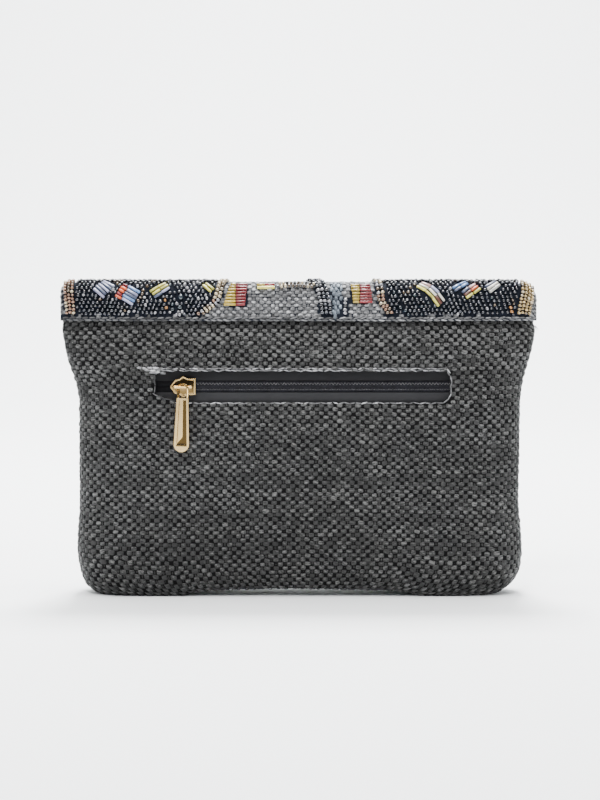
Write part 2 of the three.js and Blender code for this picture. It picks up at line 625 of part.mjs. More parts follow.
// Slider: a shield-shaped plate over the coil with a raised rim, a post between the tapes, a plate
// behind them, and the bridge that the puller hangs on
const SHIELD = [
  { along: -0.5, up: 0.06 },
  { along: -0.33, up: 0.42 },
  { along: -0.14, up: 0.5 },
  { along: 0, up: 0.5, point: 1 },
  { along: 0.2, up: 0.52 },
  { along: 0.5, up: 0.5 },
];
const sliderFace = -(zipFace(SLIDER_X, ZIP_HEIGHT) + GAP / 2);
function shieldShape(trim) {
  const corner = (row, sign) => [
    SLIDER_X + row.along * (SLIDER_LENGTH - 2 * trim),
    ZIP_HEIGHT + sign * (row.up * (SLIDER_HEIGHT - 2 * trim) + (row.point ?? 0) * SLIDER_POINT),
  ];
  const upper = SHIELD.map((row) => corner(row, 1));
  const lower = SHIELD.map((row) => corner(row, -1)).reverse();
  return new THREE.Shape([...upper, ...lower].map(([x, z]) => new THREE.Vector2(x, z)));
}

const plateBack = sliderFace + COIL_INSET - GAP;
const plateFront = plateBack - SLIDER_PLATE;
const bridgeY = plateFront - BRIDGE_RADIUS - 2 * (RING_RADIUS + GAP);
const bridgeTurn = BRIDGE_RADIUS * 1.2;

// Round wire along a path
function wireAlong(path, radius, steps, arcs) {
  const circle = new THREE.Shape();
  circle.absarc(0, 0, radius, 0, Math.PI * 2);
  const settings = { steps, extrudePath: path, curveSegments: arcs, bevelEnabled: false };
  return new THREE.ExtrudeGeometry(circle, settings);
}

function block(x0, x1, y0, y1, z0, z1) {
  const geometry = new THREE.BoxGeometry(x1 - x0, y1 - y0, z1 - z0);
  geometry.translate((x0 + x1) / 2, (y0 + y1) / 2, (z0 + z1) / 2);
  return geometry;
}

function slider() {
  const rimFront = plateFront - SLIDER_RIM;
  const shield = toManifold(plate(shieldShape(0), rimFront, plateBack));
  const dish = toManifold(plate(shieldShape(SLIDER_RIM_WIDTH), rimFront - CUT_PAST, plateFront));
  const backPlateFront = sliderFace + TAPE_INSET + TAPE + SLIDER_PLAY;
  const backPlate = block(
    sliderLeft + SLIDER_POST,
    SLIDER_X + SLIDER_LENGTH / 2,
    backPlateFront,
    backPlateFront + SLIDER_BACK_PLATE,
    ZIP_HEIGHT - SLIDER_HEIGHT / 2,
    ZIP_HEIGHT + SLIDER_HEIGHT / 2,
  );
  const post = block(
    postX - SLIDER_POST / 2,
    postX + SLIDER_POST / 2,
    plateFront,
    backPlateFront + SLIDER_BACK_PLATE / 2,
    ZIP_HEIGHT - COIL_WIDTH / 4,
    ZIP_HEIGHT + COIL_WIDTH / 4,
  );
  const half = BRIDGE_LENGTH / 2;
  const barEnd = (sign) => new THREE.Vector3(BRIDGE_X + sign * half, bridgeY, ZIP_HEIGHT);
  const bar = wireAlong(new THREE.LineCurve3(barEnd(-1), barEnd(1)), BRIDGE_RADIUS, 1, 4);
  let solid = shield.subtract(dish).add(toManifold(backPlate)).add(toManifold(post)).add(toManifold(bar));
  for (const sign of [-1, 1]) {
    const x = BRIDGE_X + sign * (half - BRIDGE_RADIUS);
    const leg = block(
      x - BRIDGE_RADIUS,
      x + BRIDGE_RADIUS,
      bridgeY,
      plateFront + SLIDER_PLATE / 2,
      ZIP_HEIGHT - bridgeTurn,
      ZIP_HEIGHT + bridgeTurn,
    );
    solid = solid.add(toManifold(leg));
  }
  return fromManifold(solid);
}

// Puller, drawn about the bridge's middle with -Z down its length. Its eye is a bent ring: the left
// side passes behind the bridge and the right side in front of it.
const EYE = [
  { across: -0.8, out: 0, up: -1 },
  { across: -0.84, out: -0.6, up: -0.5 },
  { across: -0.8, out: -1, up: -0.04 },
  { across: -0.5, out: -0.75, up: 0.19 },
  { across: 0, out: 0, up: 0.27 },
  { across: 0.5, out: 0.75, up: 0.19 },
  { across: 0.8, out: 1, up: -0.04 },
  { across: 0.84, out: 0.6, up: -0.5 },
  { across: 0.8, out: 0, up: -1 },
];
const EYE_RADIUS = BRIDGE_RADIUS + RING_RADIUS + GAP;
const EYE_STEPS = 14;

function pullerOutline(trim) {
  const neck = PULLER_NECK / 2 - trim;
  const wide = PULLER_WIDTH / 2 - trim;
  const top = RING_RADIUS - PULLER_EYE_DROP - trim;
  const arcHeight = PULLER_WIDTH / 2 - PULLER_LENGTH;
  const shape = new THREE.Shape();
  shape.moveTo(-neck, top);
  shape.lineTo(neck, top);
  shape.lineTo(wide, arcHeight);
  shape.absarc(0, arcHeight, wide, 0, -Math.PI, true);
  return shape;
}

function puller() {
  const half = PULLER_THICKNESS / 2;
  const rimFace = -half - PULLER_RIM;
  const body = toManifold(plate(pullerOutline(0), rimFace, half, 8));
  const dish = toManifold(plate(pullerOutline(PULLER_RIM_WIDTH), rimFace - CUT_PAST, -half, 8));
  const path = new THREE.CatmullRomCurve3(
    EYE.map(
      ({ across, out, up }) =>
        new THREE.Vector3((across * PULLER_NECK) / 2, -out * EYE_RADIUS, up * PULLER_EYE_DROP),
    ),
  );
  const ring = wireAlong(path, RING_RADIUS, EYE_STEPS, 3);
  return fromManifold(body.subtract(dish).add(toManifold(ring)));
}

// Closure: a plain disc between the flap and the front panel
function snap() {
  const frontFace = bulge(0, SNAP_HEIGHT, halfWidth(1, SNAP_HEIGHT)) + GAP / 2;
  const flapFace = flapStep(0, BACK_RISE + FOLD_ARC + FOLD_START - SNAP_HEIGHT, 0)[1];
  const thickness = flapFace - frontFace - 2 * GAP;
  const geometry = new THREE.CylinderGeometry(SNAP_DIAMETER / 2, SNAP_DIAMETER / 2, thickness, 20);
  geometry.translate(0, (flapFace + frontFace) / 2, SNAP_HEIGHT);
  return geometry;
}

// Materials
function finish(color, roughness, metalness = 0) {
  return new THREE.MeshStandardMaterial({ color, roughness, metalness });
}
const WEAVE = finish('#4a4a4c', 0.9);
const FLAP_WEAVE = finish('#5c5c60', 0.85);
const NAVY_BEADS = finish('#1f2733', 0.25, 0.3);
const GOLD_BEADS = finish('#8a6a4c', 0.3, 0.6);
const BRONZE_BEADS = finish('#5f574c', 0.3, 0.6);
const BUGLE_GLASS = finish('#a8472f', 0.25);
const ZIP_CLOTH = finish('#2b2b2e', 0.8);
const ZIP_NYLON = finish('#1d1c22', 0.5);
const PALE_GOLD = finish('#c9a870', 0.3, 1);

// Assembly
const clutch = new THREE.Group();

function place(name, geometry, material) {
  const mesh = new THREE.Mesh(geometry, material);
  mesh.name = name;
  clutch.add(mesh);
  return mesh;
}

place('back_panel', backPanel(), WEAVE);
place('front_panel', bodyPanel(1, FOLD_START - GAP, bulge), WEAVE);
place('flap_base', flapBase(), FLAP_WEAVE);

const SIDES = [
  { side: 'left', sign: -1, margin: EDGE_MARGIN_LEFT, columns: EDGE_COLUMNS_LEFT },
  { side: 'right', sign: 1, margin: EDGE_MARGIN_RIGHT, columns: EDGE_COLUMNS_RIGHT },
];
for (const { side, sign, margin, columns } of SIDES) {
  const edge = fieldEdge(side);
  const border = shifted(edge, sign * BORDER_WIDTH);
  const fieldInside = shifted(edge, sign * (BORDER_WIDTH + GAP));
  const fieldOutside = sideEdge(sign, margin + columns + GAP);
  const field = beadLayer(fieldOutside, fieldInside, FIELD_COLUMNS);
  const edgeStrip = beadLayer(sideEdge(sign, margin), sideEdge(sign, margin + columns), EDGE_STRIP_COLUMNS);
  place(`bead_edge_${side}`, edgeStrip, GOLD_BEADS);
  place(`bead_field_${side}`, withRoom(field, side), NAVY_BEADS);
  place(`bead_border_${side}`, beadLayer(border, edge), BRONZE_BEADS);
}

const CENTRE_STRIPS = [
  { name: 'bead_band_centre', table: CENTRE_BAND, width: BAND_WIDTH },
  { name: 'bead_column_centre', table: CENTRE_COLUMN, width: COLUMN_WIDTH },
];
for (const { name, table, width } of CENTRE_STRIPS) {
  const line = middleLine(table);
  const end = table[table.length - 1].along * PATH_LENGTH;
  place(name, beadLayer(shifted(line, -width / 2), shifted(line, width / 2), 1, end), BRONZE_BEADS);
}
for (const group of BUGLES) place(group.name, bugleGroup(group), BUGLE_GLASS);

place('zip_facing_upper', facing(1), ZIP_CLOTH);
place('zip_facing_lower', facing(-1), ZIP_CLOTH);
place('zip_tape_upper', tape(1), ZIP_CLOTH);
place('zip_tape_lower', tape(-1), ZIP_CLOTH);
place('zip_coil', coil(), ZIP_NYLON);
place('zip_slider', slider(), PALE_GOLD);
const hanging = place('zip_puller', puller(), PALE_GOLD);
hanging.position.set(BRIDGE_X, bridgeY, ZIP_HEIGHT);
hanging.rotation.y = THREE.MathUtils.degToRad(PULLER_LEAN);
place('magnet_snap', snap(), finish('#6a6a6a', 0.4, 1));

// The origin is at the middle of the bottom, front to back too
const bounds = new THREE.Box3().setFromObject(clutch);
clutch.position.y = -(bounds.min.y + bounds.max.y) / 2;

export default clutch;
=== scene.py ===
# %% [markdown]
# # A beaded clutch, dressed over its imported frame
#
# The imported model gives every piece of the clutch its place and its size. This notebook turns those
# plain solids into cloth, beads, a zip and gilt metal. Lengths are in millimetres while a shape is
# worked out, and become metres when it is put into a mesh.

# %% Load the frame
import math

import bpy
import numpy as np
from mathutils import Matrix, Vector


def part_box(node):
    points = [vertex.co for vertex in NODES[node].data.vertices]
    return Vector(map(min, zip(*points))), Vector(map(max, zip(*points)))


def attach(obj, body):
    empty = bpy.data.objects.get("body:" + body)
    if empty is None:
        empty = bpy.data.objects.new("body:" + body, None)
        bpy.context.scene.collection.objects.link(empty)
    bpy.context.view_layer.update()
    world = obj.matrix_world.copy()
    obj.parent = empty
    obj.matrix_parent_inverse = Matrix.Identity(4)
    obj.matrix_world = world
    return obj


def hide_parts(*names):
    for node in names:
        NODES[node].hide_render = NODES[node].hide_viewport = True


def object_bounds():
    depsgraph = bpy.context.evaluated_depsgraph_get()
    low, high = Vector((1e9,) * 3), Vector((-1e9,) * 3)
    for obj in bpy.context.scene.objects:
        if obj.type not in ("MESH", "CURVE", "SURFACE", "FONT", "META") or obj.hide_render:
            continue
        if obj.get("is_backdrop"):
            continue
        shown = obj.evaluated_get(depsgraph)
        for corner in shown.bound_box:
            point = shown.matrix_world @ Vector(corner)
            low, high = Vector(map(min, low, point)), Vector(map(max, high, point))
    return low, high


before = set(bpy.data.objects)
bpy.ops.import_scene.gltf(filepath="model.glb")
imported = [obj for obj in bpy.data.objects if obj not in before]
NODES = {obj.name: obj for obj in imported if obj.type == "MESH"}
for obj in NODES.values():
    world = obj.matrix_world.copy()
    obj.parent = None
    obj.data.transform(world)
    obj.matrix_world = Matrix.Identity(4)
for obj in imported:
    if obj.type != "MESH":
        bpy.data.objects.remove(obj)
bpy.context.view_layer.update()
MM = 0.001
chance = np.random.default_rng(41)
MID_Y = (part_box("back_panel")[1].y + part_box("front_panel")[0].y) / 2 / MM


def put_in_scene(name, data):
    """A new object in the scene for a mesh, a lamp or the camera."""
    thing = bpy.data.objects.new(name, data)
    bpy.context.scene.collection.objects.link(thing)
    return thing


print(f"{len(NODES)} nodes; the bag's middle plane lies at y = {MID_Y:.2f} mm")

# %% [markdown]
# ## Camera
#
# The bag fills the picture as in a shop's photograph: seen from behind, square on, from a little
# above. One pixel of a picture that is 800 high covers 0.63 mm at the bag's middle plane, and that
# fixes the distance once a lens is chosen. An 85 mm lens keeps the sides nearly parallel.

# %% Place the camera
PIXEL, PICTURE_HEIGHT = 0.63, 800
LENS, SENSOR = 85.0, 36.0
CAMERA_RISE = math.radians(5.0)
AIM = Vector((0.95, MID_Y, 122.2)) * MM

camera = put_in_scene("camera", bpy.data.cameras.new("camera"))
bpy.context.scene.camera = camera
camera.data.lens = LENS
camera.data.sensor_width = SENSOR
backwards = Vector((0, -math.cos(CAMERA_RISE), math.sin(CAMERA_RISE)))
camera.location = AIM + backwards * (PICTURE_HEIGHT * PIXEL * LENS / SENSOR * MM)
camera.rotation_euler = (-backwards).to_track_quat("-Z", "Y").to_euler()
print("camera at", [round(v, 3) for v in camera.location])

# %% [markdown]
# ## The sizes that the cloth follows
#
# Cloth, beads and stitches have to lie exactly on the solids, so the sizes and the short tables of
# sections that shaped those solids are repeated here. A table is read on a smooth curve that never
# overshoots its rows: a cubic whose slope at each row is the harmonic mean of the slopes beside it.

# %% Sizes in millimetres
WIDTH, HEIGHT, DEPTH = 297.0, 196.2, 40.0
CLOTH, FLAP_CLOTH, GAP = 1.8, 1.6, 0.3
SEAM_HEIGHT = HEIGHT - 23.6
HEM_HEIGHT, HEM_RISE = 3.2, 0.8
FOLD_RISE, FOLD_SLOPE = 6.2, math.radians(20)
FOLD_START = HEIGHT - FOLD_RISE
FLAP_END = HEIGHT - 162.2
FLAP_CORNER, CORNER_CUT = 12.0, 0.94
FOLD_CORNER = (7.0, 13.0)
FLAP_STANDOFF, FLAP_SPREAD, FRONT_SETBACK, FLAP_HEM, SIDE_TUCK = 3.0, 9.0, 1.5, 2.5, 1.2
LIFT_REACH = 0.16

# Sections of the body: share of the height, half widths left and right, half depth, and two powers
SECTIONS = np.array([
    (0, 0.845, 0.815, 0.7, 12, 2), (0.008, 0.872, 0.86, 0.8, 12, 2), (0.02, 0.889, 0.887, 0.87, 12, 2),
    (0.04, 0.913, 0.914, 0.925, 12, 2), (0.085, 0.93, 0.943, 0.98, 12, 2), (0.14, 0.94, 0.95, 1, 12, 2),
    (0.31, 0.928, 0.934, 1, 12, 2), (0.62, 0.927, 0.937, 0.97, 10, 2), (0.67, 0.937, 0.945, 0.95, 9, 2),
    (0.7, 0.948, 0.952, 0.93, 8, 1.9), (0.76, 0.976, 0.975, 0.9, 6, 1.8), (0.82, 0.99, 0.993, 0.85, 4.6, 1.6),
    (0.88, 1, 1, 0.745, 3.8, 1.5), (0.925, 1, 1, 0.6, 3.6, 1.5), (0.97, 1, 1, 0.42, 3.6, 1.5),
])
LEFT, RIGHT, DEEP, SQUARE, ROUND = range(1, 6)
# The arch under the bag: share of the half width, and lift as a share of the height
BOTTOM = np.array([(-1, 0), (-0.52, 0), (-0.4, 0.017), (-0.05, 0.024), (0.42, 0.018), (0.56, 0), (1, 0)])
# Dents of the back: middle across and up, reach along and over, tilt in degrees, depth
DENTS = [
    (0.05, 0.748, 0.62, 0.032, 0, 0.055), (-0.9, 0.665, 0.16, 0.03, 24, 0.16),
    (0.91, 0.655, 0.14, 0.036, -22, 0.11), (-0.45, 0.36, 0.3, 0.16, 10, 0.035),
    (0.48, 0.25, 0.26, 0.12, -14, 0.04),
]


def smooth_read(knots, values, place):
    """The cubic through a table's rows. Its slope at a row is the harmonic mean of the two slopes
    beside it, and nought where they point different ways, so the curve stays between its rows."""
    knots, values = np.asarray(knots, float), np.asarray(values, float)
    rise = np.diff(values) / np.diff(knots)
    before, after = np.r_[rise[0], rise], np.r_[rise, rise[-1]]
    both = before * after > 0
    slope = np.where(both, 2 * before * after / np.where(both, before + after, 1), 0)
    place = np.clip(place, knots[0], knots[-1])
    i = np.clip(np.searchsorted(knots, place) - 1, 0, len(rise) - 1)
    span = knots[i + 1] - knots[i]
    t = (place - knots[i]) / span
    return (
        (1 + 2 * t) * (1 - t) ** 2 * values[i] + t * (1 - t) ** 2 * span * slope[i]
        + t * t * (3 - 2 * t) * values[i + 1] + t * t * (t - 1) * span * slope[i + 1]
    )


def smoothstep(value, low, high):
    """0 below low, 1 above high, and 3t^2 - 2t^3 between them."""
    t = np.clip((value - low) / (high - low), 0, 1)
    return t * t * (3 - 2 * t)


def section(column, z):
    return smooth_read(SECTIONS[:, 0] * HEIGHT, SECTIONS[:, column], z)


def half_width(x, z):
    return np.where(np.asarray(x) < 0, section(LEFT, z), section(RIGHT, z)) * WIDTH / 2


print(f"half width at the zip: {half_width(-1, 132):.1f} mm left, {half_width(1, 132):.1f} mm right")

# %% [markdown]
# ## The body as a surface
#
# A filled cloth bag is boxy low down and closes like a lens at the top. Each level is therefore a
# super-ellipse whose powers change with height. The dents of the back are smooth hollows that are
# taken off the depth, and the underside is lifted between the two ends that the bag stands on.

# %% Depth of the body


def bulge(x, z, reach):
    """How far the surface stands from the middle plane: half depth times (1 - |x / reach| to the
    power square) to the power 1 / round."""
    across = np.minimum(1, np.abs(x) / reach)
    lens = np.maximum(0, 1 - across ** section(SQUARE, z)) ** (1 / section(ROUND, z))
    return section(DEEP, z) * DEPTH / 2 * lens


def dented(x, z):
    """The dents' depth: for each, deep * exp(-along^4 - over^2) in the dent's own turned axes."""
    depth = np.zeros(np.broadcast(x, z).shape)
    for middle_x, middle_z, long, tall, tilt, deep in DENTS:
        right, up = x - middle_x * WIDTH / 2, z - middle_z * HEIGHT
        cos, sin = math.cos(math.radians(tilt)), math.sin(math.radians(tilt))
        along = (right * cos + up * sin) / (long * WIDTH / 2)
        over = (up * cos - right * sin) / (tall * HEIGHT)
        depth += deep * DEPTH / 2 * np.exp(-(along ** 4) - over ** 2)
    return depth


def back_depth(x, z, reach):
    """The bulge less the dents, which fade where the surface turns towards the side seam."""
    plain = bulge(x, z, reach)
    return plain - dented(x, z) * plain / (section(DEEP, z) * DEPTH / 2)


def body_reach(x, z):
    return half_width(x, z) - SIDE_TUCK * smoothstep(z, SEAM_HEIGHT - 2 * HEM_HEIGHT, SEAM_HEIGHT)


def fold_drop(x):
    """The top corners' arcs: radius less the root of radius squared less the way past the start."""
    corner = np.where(np.asarray(x) < 0, *FOLD_CORNER)
    past = np.clip(np.abs(x) - (WIDTH / 2 - corner * CORNER_CUT), 0, corner * CORNER_CUT)
    return corner - np.sqrt(corner ** 2 - past ** 2)


FINE_COLUMNS = 401  # points across a surface as it is first worked out
FOOT_ROWS = 14  # rows over the flat foot, before the wall starts


def denser_outside(columns):
    """Steps t from -1 to 1 that get shorter towards the ends: sign(t) * (1 - (1 - |t|)^2)."""
    t = np.linspace(-1, 1, columns)[None, :]
    return np.sign(t) * (1 - (1 - np.abs(t)) ** 2)


def body_surface(side, depth_at):
    """Rows of points over one half of the body: first over the flat foot from the seam outwards,
    then up the wall. x is a share of the reach, y the depth there, and z the height with its lift."""
    top = FOLD_START - GAP
    heights = np.r_[np.zeros(FOOT_ROWS), np.linspace(0, 8, 12)[:-1], np.linspace(8, top, 140)][:, None]
    spread = np.clip(np.arange(len(heights)) / FOOT_ROWS, 0, 1)[:, None]
    u = denser_outside(FINE_COLUMNS)
    x = u * body_reach(u, heights)
    z = heights - fold_drop(x) * smoothstep(heights, SEAM_HEIGHT - FOLD_CORNER[1], FOLD_START)
    y = depth_at(x, z, body_reach(u, z)) * spread + GAP / 2
    lift = smooth_read(BOTTOM[:, 0], BOTTOM[:, 1], 2 * x / WIDTH) * HEIGHT
    z = z + lift * np.maximum(0, 1 - z / (LIFT_REACH * HEIGHT))
    return np.stack([x, side * y, z], -1)


print(f"the back stands {back_depth(0.0, 132.0, 138.0):.1f} mm from the middle plane at the zip")

# %% [markdown]
# ## Cloth that can be measured on
#
# Yarns and beads are laid out by length along the cloth, not by x and z, or they would crowd where
# the bag turns round its sides. So each row of a surface is stepped out again at equal lengths.
# After that, any place on the cloth, so many millimetres across and up, is read from the grid.

# %% Rows of equal steps, and reading a place on them
EVEN_COLUMNS = 301


def settle(raw, side, reach, up=None):
    """Steps each row of a surface out again at equal lengths on both sides of its middle, and works
    out the outward normals as the cross product of the two directions along the cloth."""
    steps = np.linalg.norm(np.diff(raw, axis=1), axis=2)
    length = np.c_[np.zeros(len(raw)), np.cumsum(steps, axis=1)]
    length -= length[:, [raw.shape[1] // 2]]
    share = np.where(length < 0, length / -length[:, [0]], length / length[:, [-1]])
    even = np.linspace(-1, 1, EVEN_COLUMNS)
    points = np.stack([
        np.stack([np.interp(even, at, row[:, k]) for k in range(3)], -1) for at, row in zip(share, raw)
    ])
    if up is None:
        up = np.r_[0, np.cumsum(np.linalg.norm(np.diff(points[:, EVEN_COLUMNS // 2], axis=0), axis=1))]
    normals = np.cross(np.gradient(points, axis=1), np.gradient(points, up, axis=0)) * -side
    normals /= np.maximum(np.linalg.norm(normals, axis=2, keepdims=True), 1e-9)
    return {"points": points, "normals": normals, "up": up, "reach": reach, "side": side}


def on_cloth(cloth, across, up):
    """The point and the outward normal at a place on the cloth, mixed from its four neighbours."""
    rows, columns = cloth["points"].shape[:2]
    share = np.clip(across / cloth["reach"](across, up), -1, 1)
    column = np.clip((share + 1) / 2 * (columns - 1), 0, columns - 1.001)
    row = np.clip(np.interp(up, cloth["up"], np.arange(rows)), 0, rows - 1.001)
    i, j = row.astype(int), column.astype(int)
    f, g = (row - i)[..., None], (column - j)[..., None]
    found = []
    for grid in (cloth["points"], cloth["normals"]):
        low = grid[i, j] * (1 - g) + grid[i, j + 1] * g
        high = grid[i + 1, j] * (1 - g) + grid[i + 1, j + 1] * g
        found.append(low * (1 - f) + high * f)
    return found


HALF_CLOTH = 150.0  # half the length of cloth round the body at any level
back = settle(body_surface(-1, back_depth), -1, lambda a, w: HALF_CLOTH)
front = settle(body_surface(1, bulge), 1, lambda a, w: HALF_CLOTH)
print(f"cloth from the bottom seam to the top: {back['up'][-1]:.0f} mm")

# %% [markdown]
# ## The flap as a surface
#
# The flap is one sheet that goes up the back, over the fold and down the front. Its place along
# that path is a length s, so a bead that is 10 mm from the seam really is. Over the fold the path
# is part of an ellipse, and the sheet leans in by 20 degrees where the ellipse starts.

# %% The flap's path
CLEARANCE = GAP * 1.5
BACK_RISE = FOLD_START - SEAM_HEIGHT
FOLD_TURN = math.pi - 2 * FOLD_SLOPE
FRONT_DROP = FOLD_START - FLAP_END
fold_half = float(bulge(0.0, FOLD_START, WIDTH / 2)) + CLEARANCE + FLAP_CLOTH
fold_up = FOLD_RISE / (1 - math.sin(FOLD_SLOPE))
FOLD_ARC = FOLD_TURN * math.sqrt(((fold_half / math.cos(FOLD_SLOPE)) ** 2 + fold_up ** 2) / 2)
STEP_LENGTH = BACK_RISE + FOLD_ARC + FRONT_DROP


def flap_step(x, step, raised):
    """A point of the flap: up the back to the fold, round an ellipse, and down the front with a
    standoff that grows. raised is its height above the sheet's inner face."""
    start = FOLD_START - fold_drop(x)

    def outward(z):
        return bulge(x, z, half_width(x, z) + FLAP_SPREAD) + CLEARANCE + raised

    past = step - BACK_RISE
    z_back = SEAM_HEIGHT + (start - SEAM_HEIGHT) * np.clip(step / BACK_RISE, 0, 1)
    turn = FOLD_SLOPE + FOLD_TURN * np.clip(past / FOLD_ARC, 0, 1)
    rise = (FOLD_RISE - FLAP_CLOTH + raised) / (1 - math.sin(FOLD_SLOPE))
    z_fold = start + rise * (np.sin(turn) - math.sin(FOLD_SLOPE))
    y_fold = -outward(start) / math.cos(FOLD_SLOPE) * np.cos(turn)
    share = np.clip((past - FOLD_ARC) / FRONT_DROP, 0, 1)
    round_start = half_width(x, FLAP_END) - FLAP_CORNER
    round_past = np.clip(np.abs(x) - round_start, 0, FLAP_CORNER * CORNER_CUT)
    end = FLAP_END + FLAP_CORNER - np.sqrt(FLAP_CORNER ** 2 - round_past ** 2)
    z_front = start + (end - start) * share
    y_front = outward(z_front) + (FLAP_STANDOFF - CLEARANCE) * smoothstep(share, 0, 0.9)
    y = np.where(past <= 0, -outward(z_back), np.where(past <= FOLD_ARC, y_fold, y_front))
    z = np.where(past <= 0, z_back, np.where(past <= FOLD_ARC, z_fold, z_front))
    return np.stack(np.broadcast_arrays(np.asarray(x, float), y, z), -1)


steps = np.linspace(0, STEP_LENGTH, 241)
spine = flap_step(0.0, steps, FLAP_CLOTH)
lengths = np.r_[0, np.cumsum(np.linalg.norm(np.diff(spine, axis=0), axis=1))]
PATH = lengths[-1]


def step_at(s):
    return np.interp(s, lengths, steps)


def flap_half(x, s):
    """Half width of the flap: full over the fold, then just inside the body's outline."""
    past = np.maximum(0, step_at(s) - BACK_RISE - FOLD_ARC)
    return half_width(x, FOLD_START - past) - FRONT_SETBACK * smoothstep(past, 0, BACK_RISE)


HEM = np.array([(0, 0.4), (0.3, 1), (0.7, 1), (1, 0)])
flap_s = np.r_[np.linspace(0, HEM_HEIGHT, 7)[:-1], np.linspace(HEM_HEIGHT, PATH, 190)][:, None]
flap_u = denser_outside(FINE_COLUMNS)
flap_x = flap_u * flap_half(flap_u, flap_s)
hem_rise = smooth_read(HEM[:, 0], HEM[:, 1], flap_s / HEM_HEIGHT) * HEM_RISE * (flap_s < HEM_HEIGHT)
flap_raw = flap_step(flap_x, step_at(flap_s), FLAP_CLOTH + hem_rise)
flap = settle(flap_raw, -1, flap_half, up=flap_s[:, 0])
print(f"the flap is {PATH:.0f} mm long from its back seam to its front edge")

# %% [markdown]
# ## Putting arrays into meshes
#
# Every new piece comes from arrays: points, faces with three or four corners, and values that the
# materials read, such as a tone for each yarn or a colour for each bead. One helper writes them
# into a mesh, stands it in for its solids and makes it ride on its body.

# %% Mesh helpers


def grid_faces(rows, columns, closed=False, flip=False):
    """Four-cornered faces between the neighbours of a grid that is stored row by row."""
    i = np.arange(rows - 1)[:, None] * columns
    j = np.arange(columns if closed else columns - 1)[None, :]
    ahead = (j + 1) % columns
    faces = np.stack([i + j, i + ahead, i + columns + ahead, i + columns + j], -1).reshape(-1, 4)
    return faces[:, ::-1] if flip else faces


def repeated(faces, count, points_each):
    """The same faces for each of many copies."""
    return (faces[None] + np.arange(count)[:, None, None] * points_each).reshape(-1, faces.shape[1])


def make_piece(name, points, faces, material, slot, stands_for=(), body="clutch", values=None, uv=None):
    """A mesh from arrays. values holds point attributes: one number or a colour for each point."""
    mesh = bpy.data.meshes.new(name)
    places = (np.asarray(points, float).reshape(-1, 3) + (0, MID_Y, 0)) * MM
    faces = [np.asarray(f) for f in (faces if isinstance(faces, list) else [faces])]
    corners = np.concatenate([f.ravel() for f in faces]).astype(np.int32)
    sizes = np.concatenate([np.full(len(f), f.shape[1]) for f in faces])
    mesh.vertices.add(len(places))
    mesh.vertices.foreach_set("co", places.astype(np.float32).ravel())
    mesh.loops.add(len(corners))
    mesh.loops.foreach_set("vertex_index", corners)
    mesh.polygons.add(len(sizes))
    mesh.polygons.foreach_set("loop_start", np.r_[0, np.cumsum(sizes)[:-1]].astype(np.int32))
    mesh.polygons.foreach_set("use_smooth", np.ones(len(sizes), bool))
    if uv is not None:
        layer = mesh.uv_layers.new(name="Thread")
        layer.data.foreach_set("uv", np.asarray(uv).reshape(-1, 2)[corners].astype(np.float32).ravel())
    for key, data in (values or {}).items():
        data = np.asarray(data, np.float32)
        kind, field = ("FLOAT", "value") if data.ndim == 1 else ("FLOAT_COLOR", "color")
        mesh.attributes.new(key, kind, "POINT").data.foreach_set(field, data.ravel())
    mesh.update(calc_edges=True)
    mesh.materials.append(material)
    piece = put_in_scene(name, mesh)
    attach(piece, body)
    if stands_for:
        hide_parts(*stands_for)
    print(f"{name}: {int((sizes - 2).sum())} triangles")
    return piece


def thicken(piece, thickness):
    """Gives a surface a wall behind it."""
    wall = piece.modifiers.new("wall", "SOLIDIFY")
    wall.thickness, wall.offset = thickness * MM, -1
    return piece


def repaint(mesh, material):
    mesh.materials.clear()
    mesh.materials.append(material)


# %% [markdown]
# ## Effects that several materials share
#
# Flat raffia-like yarn has fine streaks along its length, and cloth that has been handled is not
# one even grey. Both are node groups that put out only a value or a colour, so that each material
# keeps its own shader and sets its own strengths.

# %% Node groups


def new_group(name, inputs, outputs):
    """An empty shader group with named float, vector or colour sockets."""
    group = bpy.data.node_groups.new(name, "ShaderNodeTree")
    kinds = {"value": "NodeSocketFloat", "vector": "NodeSocketVector", "colour": "NodeSocketColor"}
    for label, kind, default in inputs:
        socket = group.interface.new_socket(label, in_out="INPUT", socket_type=kinds[kind])
        if default is not None:
            socket.default_value = default
    for label, kind in outputs:
        group.interface.new_socket(label, in_out="OUTPUT", socket_type=kinds[kind])
    return group, group.nodes.new("NodeGroupInput"), group.nodes.new("NodeGroupOutput")


def add(tree, kind, inputs=None, **settings):
    """A node with its settings, and its inputs set to values or linked to sockets."""
    node = tree.nodes.new(kind)
    for key, value in settings.items():
        setattr(node, key, value)
    for key, value in (inputs or {}).items():
        if isinstance(value, bpy.types.NodeSocket):
            tree.links.new(value, node.inputs[key])
        else:
            colour = node.inputs[key].type == "RGBA"
            node.inputs[key].default_value = (*value, 1) if colour else value
    return node


def maths(tree, operation, *values, clamp=False):
    """The result of a maths node on numbers or sockets."""
    inputs = dict(enumerate(values))
    return add(tree, "ShaderNodeMath", inputs, operation=operation, use_clamp=clamp).outputs[0]


def vectors(tree, operation, *values):
    """The outputs of a vector maths node: the vector first, then the value."""
    return add(tree, "ShaderNodeVectorMath", dict(enumerate(values)), operation=operation).outputs


def object_place(tree):
    return add(tree, "ShaderNodeTexCoord").outputs["Object"]


def noise(tree, scale, detail=2.0, roughness=0.5):
    """Noise over the object's own coordinates."""
    inputs = {"Vector": object_place(tree), "Scale": scale, "Detail": detail, "Roughness": roughness}
    return add(tree, "ShaderNodeTexNoise", inputs).outputs["Fac"]


def bump(tree, height, strength):
    """The normal of a surface on which the height stands up to 0.3 mm proud."""
    inputs = {"Height": height, "Strength": strength, "Distance": 0.0003}
    return add(tree, "ShaderNodeBump", inputs).outputs["Normal"]


